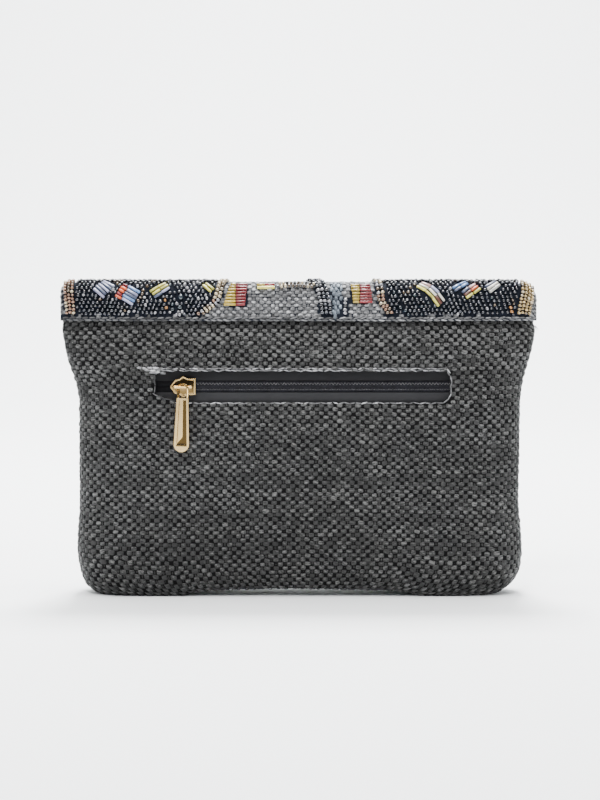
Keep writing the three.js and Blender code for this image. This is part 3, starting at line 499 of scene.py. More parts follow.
def ramp(tree, value, stops):
    """A colour ramp from (place, colour) pairs."""
    node = add(tree, "ShaderNodeValToRGB", {"Fac": value})
    elements = node.color_ramp.elements
    while len(elements) < len(stops):
        elements.new(0.5)
    for element, (place, colour) in zip(elements, stops):
        element.position = place
        element.color = (*colour, 1)
    return node.outputs["Color"]


def blend_colours(tree, share, first, second, kind="MIX"):
    """Two colours mixed by a share, or multiplied."""
    inputs = {0: share, 6: first, 7: second}
    return add(tree, "ShaderNodeMix", inputs, data_type="RGBA", blend_type=kind, clamp_factor=True).outputs[2]


fibres, given, put_out = new_group(
    "yarn fibres", [("Thread", "vector", None), ("Place", "vector", None), ("Fineness", "value", 3.4)],
    [("Streaks", "value")],
)
stretch = add(fibres, "ShaderNodeCombineXYZ", {"X": 1.6, "Y": given.outputs["Fineness"], "Z": 1.0})
along_yarn = vectors(fibres, "MULTIPLY", given.outputs["Thread"], stretch.outputs[0])[0]
own_seed = vectors(fibres, "DOT_PRODUCT", given.outputs["Place"], (310.0, 170.0, 450.0))["Value"]
grain = add(
    fibres, "ShaderNodeTexNoise", {"Vector": along_yarn, "W": own_seed, "Scale": 1.0, "Detail": 2.0},
    noise_dimensions="4D",
)
fibres.links.new(grain.outputs["Fac"], put_out.inputs["Streaks"])

handling, given, put_out = new_group(
    "handled cloth", [("Place", "vector", None), ("Patch", "value", 16.0)],
    [("Patches", "value"), ("Tint", "value")],
)
near, far = given.outputs["Place"], vectors(handling, "ADD", given.outputs["Place"], (3.1, 7.7, 1.9))[0]
for output, inputs in (
    ("Patches", {"Vector": near, "Scale": given.outputs["Patch"], "Detail": 4.0, "Roughness": 0.6}),
    ("Tint", {"Vector": far, "Scale": 70.0, "Detail": 1.0}),
):
    cloud = add(handling, "ShaderNodeTexNoise", inputs)
    handling.links.new(cloud.outputs["Fac"], put_out.inputs[output])
print("node groups:", [g.name for g in bpy.data.node_groups])

# %% [markdown]
# ## Yarn and cloth materials
#
# The body is woven from flat grey yarns. On each one the light catches a silky top while the edges
# stay dark. Its tone is stored per yarn, the fibre streaks change it a little along the yarn, and
# broad patches and a faint olive tint keep the panel from looking printed.

# %% Yarn and cloth


def principled(name, roughness, **constants):
    """A new material, its tree and its shader, with constants set on the shader's own sockets. An
    underscore stands for a space in a socket's name."""
    material = bpy.data.materials.new(name)
    material.use_nodes = True
    shader = material.node_tree.nodes["Principled BSDF"]
    shader.inputs["Roughness"].default_value = roughness
    for key, value in constants.items():
        shader.inputs[key.replace("_", " ")].default_value = value
    return material, material.node_tree, shader


def feed(tree, shader, **sockets):
    """Links sockets to the shader's inputs."""
    for key, socket in sockets.items():
        tree.links.new(socket, shader.inputs[key.replace("_", " ")])


def mottled(name, roughness, dark, bright, scale, detail=2.0, coarseness=0.5, **constants):
    """A material whose colour wanders from dark to bright. Its tree, shader, colour and noise are
    returned too, so that more can be made of them."""
    material, tree, shader = principled(name, roughness, **constants)
    cloud = noise(tree, scale, detail, coarseness)
    colour = ramp(tree, cloud, [(0.3, dark), (0.7, bright)])
    feed(tree, shader, Base_Color=colour)
    return material, tree, shader, colour, cloud


def yarn_material(name, dark, bright, roughness=0.62, tint=(0.9, 0.88, 0.72)):
    """Silky flat yarn. Its level from dark to bright is the yarn's own tone times
    (3.6 * streaks - 0.8), plus 0.4 * patches - 0.2."""
    material, tree, shader = principled(name, roughness, Specular_IOR_Level=0.3)
    tone = add(tree, "ShaderNodeAttribute", attribute_name="tone").outputs["Fac"]
    thread = add(tree, "ShaderNodeUVMap", uv_map="Thread").outputs["UV"]
    place = object_place(tree)
    streaks = add(tree, "ShaderNodeGroup", {"Thread": thread, "Place": place}, node_tree=fibres).outputs[0]
    cloth = add(tree, "ShaderNodeGroup", {"Place": place}, node_tree=handling).outputs
    level = maths(tree, "MULTIPLY", tone, maths(tree, "MULTIPLY_ADD", streaks, 3.6, -0.8))
    worn = maths(tree, "MULTIPLY_ADD", cloth["Patches"], 0.4, -0.2)
    level = maths(tree, "ADD", level, worn, clamp=True)
    middle = tuple(0.78 * a + 0.22 * b for a, b in zip(dark, bright))
    colour = ramp(tree, level, [(0.0, dark), (0.5, middle), (1.0, bright)])
    share = maths(tree, "MULTIPLY", cloth["Tint"], 0.45)
    tinted = blend_colours(tree, share, colour, tint, "MULTIPLY")
    feed(tree, shader, Base_Color=tinted, Normal=bump(tree, streaks, 0.5))
    return material


def dark_cloth(name, colour, thread_scale, roughness=0.85, strength=0.35):
    """Cloth that is seen only between yarns or as a smooth facing: fine crossed threads as bump."""
    material, tree, shader = principled(name, roughness, Specular_IOR_Level=0.12)
    place = object_place(tree)
    patches = add(tree, "ShaderNodeGroup", {"Place": place}, node_tree=handling).outputs["Patches"]
    shades = [(at, tuple(gain * c for c in colour)) for at, gain in ((0.2, 0.7), (0.8, 1.25))]
    waves = {"Vector": place, "Scale": thread_scale, "Distortion": 1.5}
    weft, warp = (add(tree, "ShaderNodeTexWave", waves, bands_direction=way).outputs["Fac"] for way in "ZX")
    crossed = maths(tree, "MULTIPLY", weft, warp)
    feed(tree, shader, Base_Color=ramp(tree, patches, shades), Normal=bump(tree, crossed, strength))
    return material


grey_yarn = yarn_material("grey yarn", (0.0012, 0.0012, 0.0013), (0.108, 0.108, 0.11))
flap_yarn = yarn_material("pale grey yarn", (0.012, 0.012, 0.013), (0.54, 0.54, 0.56), tint=(0.94, 0.95, 0.92))
blue_yarn = yarn_material("blue grey yarn", (0.02, 0.024, 0.03), (0.42, 0.5, 0.6), tint=(0.94, 0.95, 0.92))
# The body's shells behind the yarns are near black: painted shade in the holes of the weave.
yarn_shadow = dark_cloth("cloth between yarns", (0.002, 0.002, 0.0022), 130.0)
# The flap's shell is dark navy: the navy ground under the beads, and painted shade in the holes of the bare weave.
navy_ground_and_shade = dark_cloth("cloth under the flap's yarns", (0.007, 0.009, 0.015), 130.0)
print("cloth materials made")

# %% [markdown]
# ## Body shells with the zip window
#
# Behind the yarns each half of the body is a real wall of cloth, so that nothing is seen through
# the weave and the window has a true edge. The window is made by leaving out the faces inside its
# outline and moving the rim's points onto that outline. Solidify then gives the wall its 1.8 mm.

# %% Window outline
ZIP_HEIGHT = SEAM_HEIGHT - 40.6
WINDOW_LENGTH, WINDOW_HEIGHT, WINDOW_OFFSET = 182.5, 18.9, 2.8
WINDOW_LEFT, WINDOW_RIGHT = WINDOW_OFFSET - WINDOW_LENGTH / 2, WINDOW_OFFSET + WINDOW_LENGTH / 2
WINDOW_LOW, WINDOW_HIGH = ZIP_HEIGHT - WINDOW_HEIGHT / 2, ZIP_HEIGHT + WINDOW_HEIGHT / 2
CORNER_ROUND = 8  # the lower right corner's radius
bend = np.linspace(0, 1, 9)
round_x = WINDOW_RIGHT - CORNER_ROUND * (1 - bend) ** 2
round_z = WINDOW_LOW + CORNER_ROUND * bend ** 2
window = np.array([
    (WINDOW_LEFT + 3, WINDOW_HIGH), (WINDOW_LEFT, WINDOW_HIGH - 1.5), (WINDOW_LEFT, WINDOW_LOW + 5),
    (WINDOW_LEFT + 15, WINDOW_LOW), *zip(round_x, round_z),
    (WINDOW_RIGHT, WINDOW_HIGH - 3), (WINDOW_RIGHT - 3, WINDOW_HIGH),
])
window_sides = np.roll(window, -1, axis=0) - window
outward_sides = np.stack([window_sides[:, 1], -window_sides[:, 0]], -1)
outward_sides /= np.linalg.norm(outward_sides, axis=1, keepdims=True)
OUTLINE = (window[:, None] + window_sides[:, None] * np.linspace(0, 1, 60)[None, :, None]).reshape(-1, 2)


def from_window(x, z):
    """Signed distance to the window's outline, which bulges everywhere: the greatest of the
    distances to its sides, negative inside."""
    offset = np.stack([x, z], -1)[..., None, :] - window
    return (offset * outward_sides).sum(-1).max(-1)


print(f"window {WINDOW_RIGHT - WINDOW_LEFT:.0f} by {WINDOW_HIGH - WINDOW_LOW:.1f} mm")

# %% Shells


def shell(name, cloth, thickness, material, slot, node, columns, rows, cut=False):
    """A cloth wall from a coarser grid over the cloth, with the window left out where asked."""
    a, w = np.meshgrid(np.linspace(-1, 1, columns), np.linspace(cloth["up"][0], cloth["up"][-1], rows))
    points, _ = on_cloth(cloth, a * cloth["reach"](a, w) * 0.99999, w)
    faces = grid_faces(rows, columns, flip=cloth["side"] > 0)
    flat = points.reshape(-1, 3)
    if cut:
        inside = from_window(flat[:, 0], flat[:, 2]) < 0.6
        gone = inside[faces].any(1)
        rim = np.intersect1d(faces[gone], faces[~gone])
        near = ((flat[rim][:, None, [0, 2]] - OUTLINE[None]) ** 2).sum(-1).argmin(1)
        flat[rim, 0], flat[rim, 2] = OUTLINE[near].T
        used, faces = np.unique(faces[~gone], return_inverse=True)
        flat, faces = flat[used], faces.reshape(-1, 4)
    return thicken(make_piece(name, flat, faces, material, slot, [node]), thickness)


shell("back_cloth", back, CLOTH, yarn_shadow, "woven_cloth", "back_panel", 121, 85, cut=True)
shell("front_cloth", front, CLOTH, yarn_shadow, "woven_cloth", "front_panel", 91, 64)

# %% [markdown]
# ## Plain weave from real yarns
#
# On the real bag each weft yarn passes over one warp yarn and under the next. What shows is a
# checkerboard of small arched floats: bright level ones and darker upright ones that lie deeper.
# Thousands of small arched patches give the true shadows that a bump map can't, and each needs
# only about a dozen faces. Their tones add painted shade at the ends and a painted highlight
# along the upper edge.

# %% Arched floats
# How uneven floats are: ranges of the factors on length, width and crown, and the standard
# deviations of turn, base and tone. Floats that are sewn on in rows all have one base.
WOVEN = {"long": (0.85, 1.12), "wide": (0.84, 1.1), "crown": (0.7, 1.2), "turn": 0.12, "base": 0.04, "tone": 0.1}
SEWN = {"long": (0.8, 1.15), "wide": (0.8, 1.1), "crown": (0.75, 1.2), "turn": 0.07, "base": 0, "tone": 0.14}


def floats_on(cloth, across, up, half_long, half_wide, turn, crown, base, grid):
    """Small arched ribbons on a cloth. Along a ribbon p and across it q run from -1 to 1, and its
    height is base + crown * (1 - 0.4 p^2 - 0.6 p^4) - 0.22 q^4: a flat top whose ends dive."""
    count = len(across)

    def spread(value):
        return np.broadcast_to(value, (count,))[:, None, None]

    p = np.linspace(-1, 1, grid[0])[None, :, None]
    q = np.linspace(-1, 1, grid[1])[None, None, :]
    dx, dy = spread(half_long) * p, spread(half_wide) * q * (1 - 0.12 * p ** 2)
    cos, sin = np.cos(spread(turn)), np.sin(spread(turn))
    foot, normal = on_cloth(cloth, spread(across) + dx * cos - dy * sin, spread(up) + dx * sin + dy * cos)
    height = spread(base) + spread(crown) * (1 - 0.4 * p ** 2 - 0.6 * p ** 4) - 0.22 * q ** 4
    points = foot + normal * height[..., None]
    points[..., 2] = np.maximum(points[..., 2], 0.05)  # yarns under the bag are pressed flat
    faces = repeated(grid_faces(*grid, flip=cloth["side"] < 0), count, grid[0] * grid[1])
    uv = np.stack(np.broadcast_arrays(p * 0.5 + 0.5, q * 0.5 + 0.5, height)[:2], -1)
    return points.reshape(-1, 3), faces, uv.reshape(-1, 2)


def with_painted_light(tones, grid):
    """Each float's tone at all its points, with painted shade at the ends and the lower edge, where
    it dips between its neighbours, and a painted highlight along the upper edge, as if lit from
    above: tone * (1 - 0.45 p^4 - 0.4 q^4 + 0.25 q)."""
    p, q = np.linspace(-1, 1, grid[0])[:, None], np.linspace(-1, 1, grid[1])[None, :]
    shade = 1 - 0.45 * p ** 4 - 0.4 * q ** 4 + 0.25 * q
    return (np.asarray(tones)[:, None] * shade.ravel()).ravel()


def lay_floats(name, cloth, lots, material, slot, uneven=SEWN, grid=(5, 4)):
    """A piece from lots of floats. A lot gives places across and up, a half length and width, a
    turn, a crown, a base and a tone."""
    made, faces, uvs, tones, first = [], [], [], [], 0
    for across, up, half_long, half_wide, turn, crown, base, tone in lots:
        count = len(across)
        half_long = half_long * chance.uniform(*uneven["long"], count)
        half_wide = half_wide * chance.uniform(*uneven["wide"], count)
        turn = turn + chance.normal(0, uneven["turn"], count)
        crown = crown * chance.uniform(*uneven["crown"], count)
        if uneven["base"]:
            base = base + chance.normal(0, uneven["base"], count)
        points, quads, uv = floats_on(cloth, across, up, half_long, half_wide, turn, crown, base, grid)
        made.append(points)
        faces.append(quads + first)
        uvs.append(uv)
        tones.append(with_painted_light(np.clip(chance.normal(tone, uneven["tone"], count), 0, 1), grid))
        first += len(points)
    make_piece(
        name, np.concatenate(made), np.concatenate(faces), material, slot,
        values={"tone": np.concatenate(tones)}, uv=np.concatenate(uvs),
    )


CRUMPLED = (-138, 150, 20, 26)  # a place on the cloth, across and up, and its reach each way


def hill(x, z, middle_x, middle_z, long, tall):
    """exp(-along^2 - over^2) about a middle: 1 there, and nearly nought two reaches away."""
    return np.exp(-((x - middle_x) / long) ** 2 - ((z - middle_z) / tall) ** 2)


def woven(name, cloth, pitch, spans, keep, material, slot, tones, sag=0.0, grid=(5, 4), fade=None,
          sunk=(0.6, 0.36, 0.42, -0.36)):
    """A plain weave: level floats where column plus row is even, upright floats elsewhere. Each
    float has its own tone, and each yarn a shade of its own from side to side or up and down. fade
    gives what the cloth's tone gains at x and z; on the back that is painted light and shade. sag
    bends the rows, most where the cloth is crumpled. sunk is the upright floats' half length and
    width as shares of the pitch, their crown and their base."""
    columns, rows = (np.arange(*span, step) for span, step in zip(spans, pitch))
    a, w = np.meshgrid(columns, rows)
    even = np.add.outer(np.arange(len(rows)), np.arange(len(columns))) % 2 == 0
    a = a + 0.5 * np.sin(w / 17 + 0.4) + chance.normal(0, 0.14, a.shape)
    w = w + sag * np.sin(a / 31 + w / 60) + chance.normal(0, 0.13, a.shape)
    w = w - sag * 3 * hill(a, w, *CRUMPLED) * (a < 0)
    foot, _ = on_cloth(cloth, a, w)
    kept = keep(a, w, foot[..., 0], foot[..., 2])
    weft = chance.normal(0, 0.05, (len(rows), 1))
    warp = chance.normal(0, 0.05, (1, len(columns)))
    gain = fade(foot[..., 0], foot[..., 2]) if fade else 0 * a
    long, wide, *rise = sunk
    # The upright floats take tones[1]. Where that is lower than tones[0], it is partly a darker yarn and partly
    # painted shade where they lie deeper.
    lay_floats(name, cloth, [
        (a[mask], w[mask], *shape, (tone + yarn + gain)[mask]) for mask, shape, tone, yarn in (
            (even & kept, (0.76 * pitch[0], 0.57 * pitch[1], 0.0, 0.9, -0.2), tones[0], weft),
            (~even & kept, (long * pitch[1], wide * pitch[0], math.pi / 2, *rise), tones[1], warp),
        )
    ], material, slot, WOVEN, grid)


def keep_back(a, w, x, z):
    return (np.abs(a) < HALF_CLOTH - 0.5) & (from_window(x, z) > 1.1) & (z < SEAM_HEIGHT + 3) & (w > 3)


def keep_front(a, w, x, z):
    under_flap = (z >= FLAP_END + 9) & (np.abs(a) <= 118)
    return (np.abs(a) < HALF_CLOTH - 0.5) & (w > 3) & (z < FOLD_START - 9) & ~under_flap


# Painted light and shade that the back's tone gains by height (painted top light on the upper back, which tilts
# up, and painted shadow at the pinch and under the hem), and at two places: a painted crease shadow and a painted
# highlight on the ridge above it
PAINTED_LIGHT_BY_HEIGHT = np.array([(0, 0), (30, 0), (128, 0.02), (141, -0.03), (152, 0.17), (168, 0.17), (172, -0.12)])
PAINTED_CREASE_LIGHT = (((-133, 129, 5, 4), -0.35), ((-133, 141, 6, 6), 0.12))


def painted_light_gain(x, z):
    """Painted light and shade that the back's tone gains: by height, less towards the left, and at the creases."""
    gain = np.interp(z, *PAINTED_LIGHT_BY_HEIGHT.T) * (0.15 + 0.85 * smoothstep(x, -128, -86))
    for place, more in PAINTED_CREASE_LIGHT:
        gain = gain + more * hill(x, z, *place)
    return gain


for name, cloth, keep, more in (
    ("back_weave", back, keep_back, {"fade": painted_light_gain}), ("front_weave", front, keep_front, {"grid": (5, 3)}),
):
    woven(
        name, cloth, (2.86, 2.55), ((-149, 150), (1.5, 196)), keep, grey_yarn, "woven_cloth", (0.55, 0.13),
        sag=0.7, **more,
    )

# %% [markdown]
# ## The flap's cloth
#
# The flap is a separate, paler cloth, a single sheet sewn to the back and folded over the top. Its
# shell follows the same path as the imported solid. Bare weave shows between the bead fields, along
# the sides and at the ends, so yarns are laid only there.

# %% Flap shell
flap_cloth = shell("flap_cloth", flap, FLAP_CLOTH, navy_ground_and_shade, "flap_cloth", "flap_base", 121, 130)

# %% Where the beads lie
BEADS_START, BEADS_END = HEM_HEIGHT + GAP, PATH - FLAP_HEM
EDGE_WIDTH = {"left": 6.6, "right": 9.0}
EDGE_MARGIN = {"left": 3.8, "right": 4.3}
BORDER_WIDTH, BAND_WIDTH, COLUMN_WIDTH, TUBE_PITCH = 4.6, 6.4, 3.4, 2.25
SIGN = {"left": -1, "right": 1}
# Inner edges of the bead fields: share of the path, then shares of the flap's half width
FIELD_EDGES = np.array([
    (0, -0.43, 0.372), (0.028, -0.38, 0.36), (0.065, -0.325, 0.325), (0.15, -0.295, 0.308),
    (0.36, -0.24, 0.25), (0.6, -0.22, 0.22), (0.82, -0.34, 0.34), (1, -0.56, 0.56),
])
CENTRE_BAND = np.array([(0, 0.12), (0.06, 0.109), (0.13, 0.082), (0.2, 0.048), (0.3, 0.03), (0.45, 0.06)])
CENTRE_COLUMN = np.array([(0, 0.193), (0.075, 0.193)])
# Groups of tube beads: middle across and along, turn in degrees, how many, length
TUBES = {
    "bugle_fan_left": (-0.2515, 0.086, 0, 7, 13.4),
    "bugle_fan_right": (0.2535, 0.089, 0, 6, 12.8),
    "bugle_leaf_left": (-0.806, 0.107, -40, 5, 9.0),
    "bugle_leaf_right": (-0.704, 0.0855, -29, 5, 12.4),
    "bugle_spray_left": (-0.572, 0.1, 35, 3, 11.6),
    "bugle_spray_inner": (-0.373, 0.109, -47, 2, 7.6),
    "bugle_spray_centre": (-0.135, 0.113, 0, 2, 11.2),
    "bugle_curve": (0.543, 0.0887, -44, 3, 19.6),
    "bugle_pair_blue": (0.661, 0.1145, 36, 2, 10.4),
    "bugle_pair_orange": (0.704, 0.0965, 36, 3, 10.6),
    "bugle_spray_right": (0.793, 0.113, 38, 3, 9.0),
}


def field_edge(side, s):
    share = smooth_read(FIELD_EDGES[:, 0], FIELD_EDGES[:, 1 if side == "left" else 2], s / PATH)
    return share * flap_half(SIGN[side], s)


def side_edge(side, inside, s):
    return SIGN[side] * (flap_half(SIGN[side], s) - inside)


def middle_line(table, s):
    return smooth_read(table[:, 0], table[:, 1], s / PATH) * WIDTH / 2


def in_tubes(x, s, margin):
    """True inside any group's turned rectangle, grown by a margin."""
    found = np.zeros(np.broadcast(x, s).shape, bool)
    for across, along, turn, count, length in TUBES.values():
        cos, sin = math.cos(math.radians(turn)), math.sin(math.radians(turn))
        dx, ds = x - across * WIDTH / 2, s - along * PATH
        run, over = dx * cos + ds * sin, ds * cos - dx * sin
        found |= (np.abs(run) < length / 2 + margin) & (np.abs(over) < count * TUBE_PITCH / 2 + margin)
    return found


def bare(a, s, x, z):
    """Where the flap's weave shows: outside fields, columns, bands and tube beads."""
    shown = (s > HEM_HEIGHT - 0.4) & (s < PATH - 0.9) & (np.abs(a) < flap_half(a, s) - 0.7)
    for side, sign in SIGN.items():
        beyond = (a - field_edge(side, s)) * sign > -0.4
        inside = (side_edge(side, EDGE_MARGIN[side], s) - a) * sign > -0.5
        shown &= ~(beyond & inside & (s > BEADS_START) & (s < BEADS_END))
    for line, width in ((CENTRE_BAND, BAND_WIDTH), (CENTRE_COLUMN, COLUMN_WIDTH)):
        shown &= ~((np.abs(a - middle_line(line, s)) < width / 2 + 0.9) & (s < line[-1, 0] * PATH))
    return shown & ~in_tubes(a, s, -0.3)


STRIP, STRIP_END = (19.4, 26.6), 42  # blue grey yarns beside the centre band, across the flap and along it


def in_strip(a, s):
    return (a > STRIP[0]) & (a < STRIP[1]) & (s < STRIP_END)


def keep_flap(a, s, x, z):
    return bare(a, s, x, z) & ~in_strip(a, s)


def keep_strip(a, s, x, z):
    return bare(a, s, x, z) & in_strip(a, s)


woven(
    "flap_weave", flap, (2.4, 2.12), ((-148, 148.6), (3.6, PATH)), keep_flap, flap_yarn, "flap_cloth",
    (0.53, 0.28), sunk=(0.66, 0.44, 0.5, -0.25),
)
woven(
    "strip_weave", flap, (1.5, 3.0), ((STRIP[0], STRIP[1] + 0.5), (2.9, STRIP_END)), keep_strip, blue_yarn,
    "flap_cloth", (0.52, 0.6),
)

# %% [markdown]
# ## The rolled hem
#
# At the back seam the flap's edge is rolled and caught down, so its yarns show as two rows of long
# bright slanting floats, like a loose cord, with a dark line of shadow under them.

# %% Hem
hem_rows = []
for height, slant, tone, start in ((0.6, -0.14, 0.5, -147.0), (1.95, 0.13, 0.52, -145.0)):
    places = np.arange(start, 147.5, 4.3)
    places = places + chance.normal(0, 0.3, len(places))
    tone = tone * np.interp(places, (-147, -20, 60), (0.35, 0.6, 0.9))  # brighter to the right
    hem_rows.append((places, np.full(len(places), height), 2.3, 0.55, slant, 0.6, -0.05, tone))
lay_floats("flap_hem", flap, hem_rows, flap_yarn, "flap_cloth")

# %% [markdown]
# ## Seed beads
#
# A seed bead is a short glass barrel with a hole, here 2.0 to 2.6 mm across. It is a small
# profile turned about its thread, and one barrel is copied to every place as whole arrays. Beads that
# the camera sees get ten sides, and those down the front get six. Their colours are attributes, picked
# at random from the mixed strings that such work is made of.

# %% Bead shapes


def turned(profile, sides):
    """A profile of (place along the thread, radius) turned about the thread. The first and last
    rows are closed to one point each, as the mouth of the hole. Returns points and faces."""
    angle = np.arange(sides) / sides * 2 * math.pi
    along, radius = np.array(profile).T
    ring = np.stack(np.broadcast_arrays(
        along[:, None], radius[:, None] * np.cos(angle), radius[:, None] * np.sin(angle),
    ), -1).reshape(-1, 3)
    tips = np.array([(along[0] * 0.55, 0, 0), (along[-1] * 0.55, 0, 0)])
    strips = grid_faces(len(along), sides, closed=True, flip=True)
    j = np.arange(sides)
    first = np.stack([np.full(sides, len(ring)), j, (j + 1) % sides], -1)
    last_row = (len(along) - 1) * sides
    last = np.stack([np.full(sides, len(ring) + 1), last_row + (j + 1) % sides, last_row + j], -1)
    return np.concatenate([ring, tips]), strips, np.concatenate([first, last])


SEEN_BEAD = turned([(-0.72, 0.4), (-0.55, 0.8), (0, 1.0), (0.55, 0.8), (0.72, 0.4)], 10)
FAR_BEAD = turned([(-0.66, 0.5), (0, 1.0), (0.66, 0.5)], 6)
TUBE_BEAD = turned([(-1, 0.5), (-0.985, 0.86), (-0.93, 1), (0, 1), (0.93, 1), (0.985, 0.86), (1, 0.5)], 10)
SEEN_ALONG = 46.0  # beads up to this length from the back seam are seen by the camera


def copies_on(cloth, shape, across, up, turn, long, radius, raised):
    """Copies of a turned shape on a cloth: its thread lies in the cloth at an angle to +X, and its
    middle stands one radius plus raised above the surface."""
    points, strips, caps = shape
    foot, normal = on_cloth(cloth, across, up)
    ahead, _ = on_cloth(cloth, across + 0.4, up)
    level = ahead - foot
    level -= (level * normal).sum(-1, keepdims=True) * normal
    level /= np.linalg.norm(level, axis=-1, keepdims=True)
    uphill = np.cross(normal, level)
    thread = level * np.cos(turn)[:, None] + uphill * np.sin(turn)[:, None]
    sideways = np.cross(normal, thread)
    middle = foot + normal * (radius + raised)[:, None]
    local = points[None] * np.stack([long, radius, radius], -1)[:, None, :]
    placed = (
        middle[:, None] + local[..., :1] * thread[:, None] + local[..., 1:2] * sideways[:, None]
        + local[..., 2:] * normal[:, None]
    )
    count = len(across)
    return placed.reshape(-1, 3), repeated(strips, count, len(points)), repeated(caps, count, len(points))


def glass_piece(name, lots, material, slot, stands_for):
    """One mesh from lots of copies. A lot is a shape, places across and up, turns, half lengths,
    radii, how far the glass is raised, and a colour for each bead."""
    points, strips, caps, colours, first = [], [], [], [], 0
    for shape, *places, colour in lots:
        made, quads, ends = copies_on(flap, shape, *places)
        points.append(made)
        strips.append(quads + first)
        caps.append(ends + first)
        colours.append(np.repeat(np.c_[colour, np.ones(len(colour))], len(shape[0]), axis=0))
        first += len(made)
    make_piece(
        name, np.concatenate(points), [np.concatenate(strips), np.concatenate(caps)], material, slot, stands_for,
        values={"bead_colour": np.concatenate(colours)},
    )


def bead_piece(name, across, up, turn, radius, colour, slot, stands_for, raised=0.05):
    """Seed beads of both fineness in one mesh. A bead is nearly as long as it is wide."""
    raised = np.full(len(across), raised)
    arrays = (across, up, turn, radius * 0.95, radius, raised, colour)
    masks = ((SEEN_BEAD, up < SEEN_ALONG), (FAR_BEAD, up >= SEEN_ALONG))
    lots = [(shape, *(array[mask] for array in arrays)) for shape, mask in masks if mask.any()]
    glass_piece(name, lots, seed_glass, slot, stands_for)


# %% Bead materials


def bead_material(name, roughness, metallic, coat):
    """Glass with a metal finish: the bead's own colour, a little cloudier on some beads."""
    material, tree, shader, shade, cloud = mottled(
        name, roughness, (0.72, 0.72, 0.74), (1.12, 1.1, 1.06), 420.0, 1.0,
        Metallic=metallic, Coat_Weight=coat, Coat_Roughness=0.06,
    )
    own = add(tree, "ShaderNodeAttribute", attribute_name="bead_colour").outputs["Color"]
    feed(
        tree, shader, Base_Color=blend_colours(tree, 1.0, own, shade, "MULTIPLY"),
        Roughness=maths(tree, "MULTIPLY_ADD", cloud, 0.2, roughness - 0.1),
    )
    return material


seed_glass = bead_material("metal-finished seed beads", 0.16, 0.4, 1.0)
tube_glass = bead_material("lined tube beads", 0.3, 0.0, 0.35)
PAINT = {
    "navy": (0.003, 0.005, 0.013), "teal": (0.004, 0.014, 0.022), "gunmetal": (0.01, 0.012, 0.018),
    "steel": (0.038, 0.042, 0.055), "silver": (0.24, 0.24, 0.26), "cream": (0.4, 0.33, 0.22),
    "copper": (0.2, 0.105, 0.062), "gold": (0.33, 0.235, 0.1), "bronze": (0.08, 0.054, 0.03),
    "brown": (0.05, 0.028, 0.015), "amber": (0.32, 0.14, 0.03),
}


def pick(names, weights, count):
    """Random colours from named paints, each a little lighter or darker."""
    chosen = chance.choice(len(names), count, p=np.array(weights) / sum(weights))
    return np.array([PAINT[n] for n in names])[chosen] * chance.uniform(0.75, 1.3, (count, 1))


# %% [markdown]
# ## Bead fields
#
# In the dark fields the beads were strewn rather than set in lines, yet they pack closely. A
# hexagonal grid is bent by slow waves and jittered until its order no longer shows. Places that
# belong to columns, borders or tube beads are left out. A few lines and rings have their own.

# %% Fields
FIELD_PITCH = (2.85, 2.45)
FIELD_WEIGHTS = {"left": [48, 8, 30, 10, 4], "right": [42, 8, 32, 13, 5]}


def field_places(side):
    """Places of one field's beads: rows along the flap, every other row shifted by half a pitch,
    with waves and jitter added, and only those inside the field's edges kept."""
    rows = np.arange(BEADS_START - 0.1, BEADS_END - 0.9, FIELD_PITCH[1])
    s, x = np.meshgrid(rows, np.arange(-149, 149, FIELD_PITCH[0]), indexing="ij")
    x = x + (np.arange(len(rows)) % 2)[:, None] * 1.42
    x, s = x + 1.2 * np.sin(s / 9.0 + x / 23), s + 0.8 * np.sin(x / 11.0 + s / 23)
    x, s = x + chance.normal(0, 0.24, x.shape), s + chance.normal(0, 0.22, x.shape)
    sign = SIGN[side]
    inner = (x - field_edge(side, s)) * sign > BORDER_WIDTH + GAP + 1.1
    outer = (side_edge(side, EDGE_MARGIN[side] + EDGE_WIDTH[side] + GAP, s) - x) * sign > 1.0
    kept = inner & outer & (s > BEADS_START - 0.3) & (s < BEADS_END - 1.0) & ~in_tubes(x, s, 0.9)
    return x[kept], s[kept]


def near_line(x, s, start, end, width):
    """True within a width of the line from start to end, as (x, s) places."""
    way = np.subtract(end, start)
    t = np.clip(((x - start[0]) * way[0] + (s - start[1]) * way[1]) / (way @ way), 0, 1)
    return np.hypot(x - start[0] - t * way[0], s - start[1] - t * way[1]) < width


# Lines of other beads in the dark fields: start and end, half width, and the two paints
LINES = {
    "left": [
        ((-122.5, 14.5), (-110, 29), 1.9, "brown", "bronze"), ((-88, 29), (-99, 14), 1.5, "bronze", "steel"),
        ((-99, 14), (-108, 6), 1.4, "bronze", "gunmetal"), ((-93.5, 3), (-93.5, 15), 1.3, "silver", "steel"),
        ((-109, 4.6), (-56, 4.6), 1.5, "silver", "steel"), ((-82, 14), (-81, 9), 1.2, "amber", "bronze"),
        ((-66, 25), (-58, 10), 5.0, "steel", "silver"), ((-118, 33), (-100, 52), 2.2, "bronze", "brown"),
    ],
    "right": [
        ((120, 11), (120, 6), 1.3, "bronze", "brown"), ((132, 6), (131.5, 13), 1.3, "amber", "bronze"),
        ((62, 16), (70, 22), 2.0, "bronze", "gunmetal"), ((60, 26), (78, 27), 1.6, "silver", "steel"),
        ((96, 30), (108, 50), 2.2, "bronze", "brown"),
    ],
}
RINGS_START = 50  # the rings lie on the front, this far from the back seam
RING_MIDDLE, RING_PITCH = (96, 118), 5.2


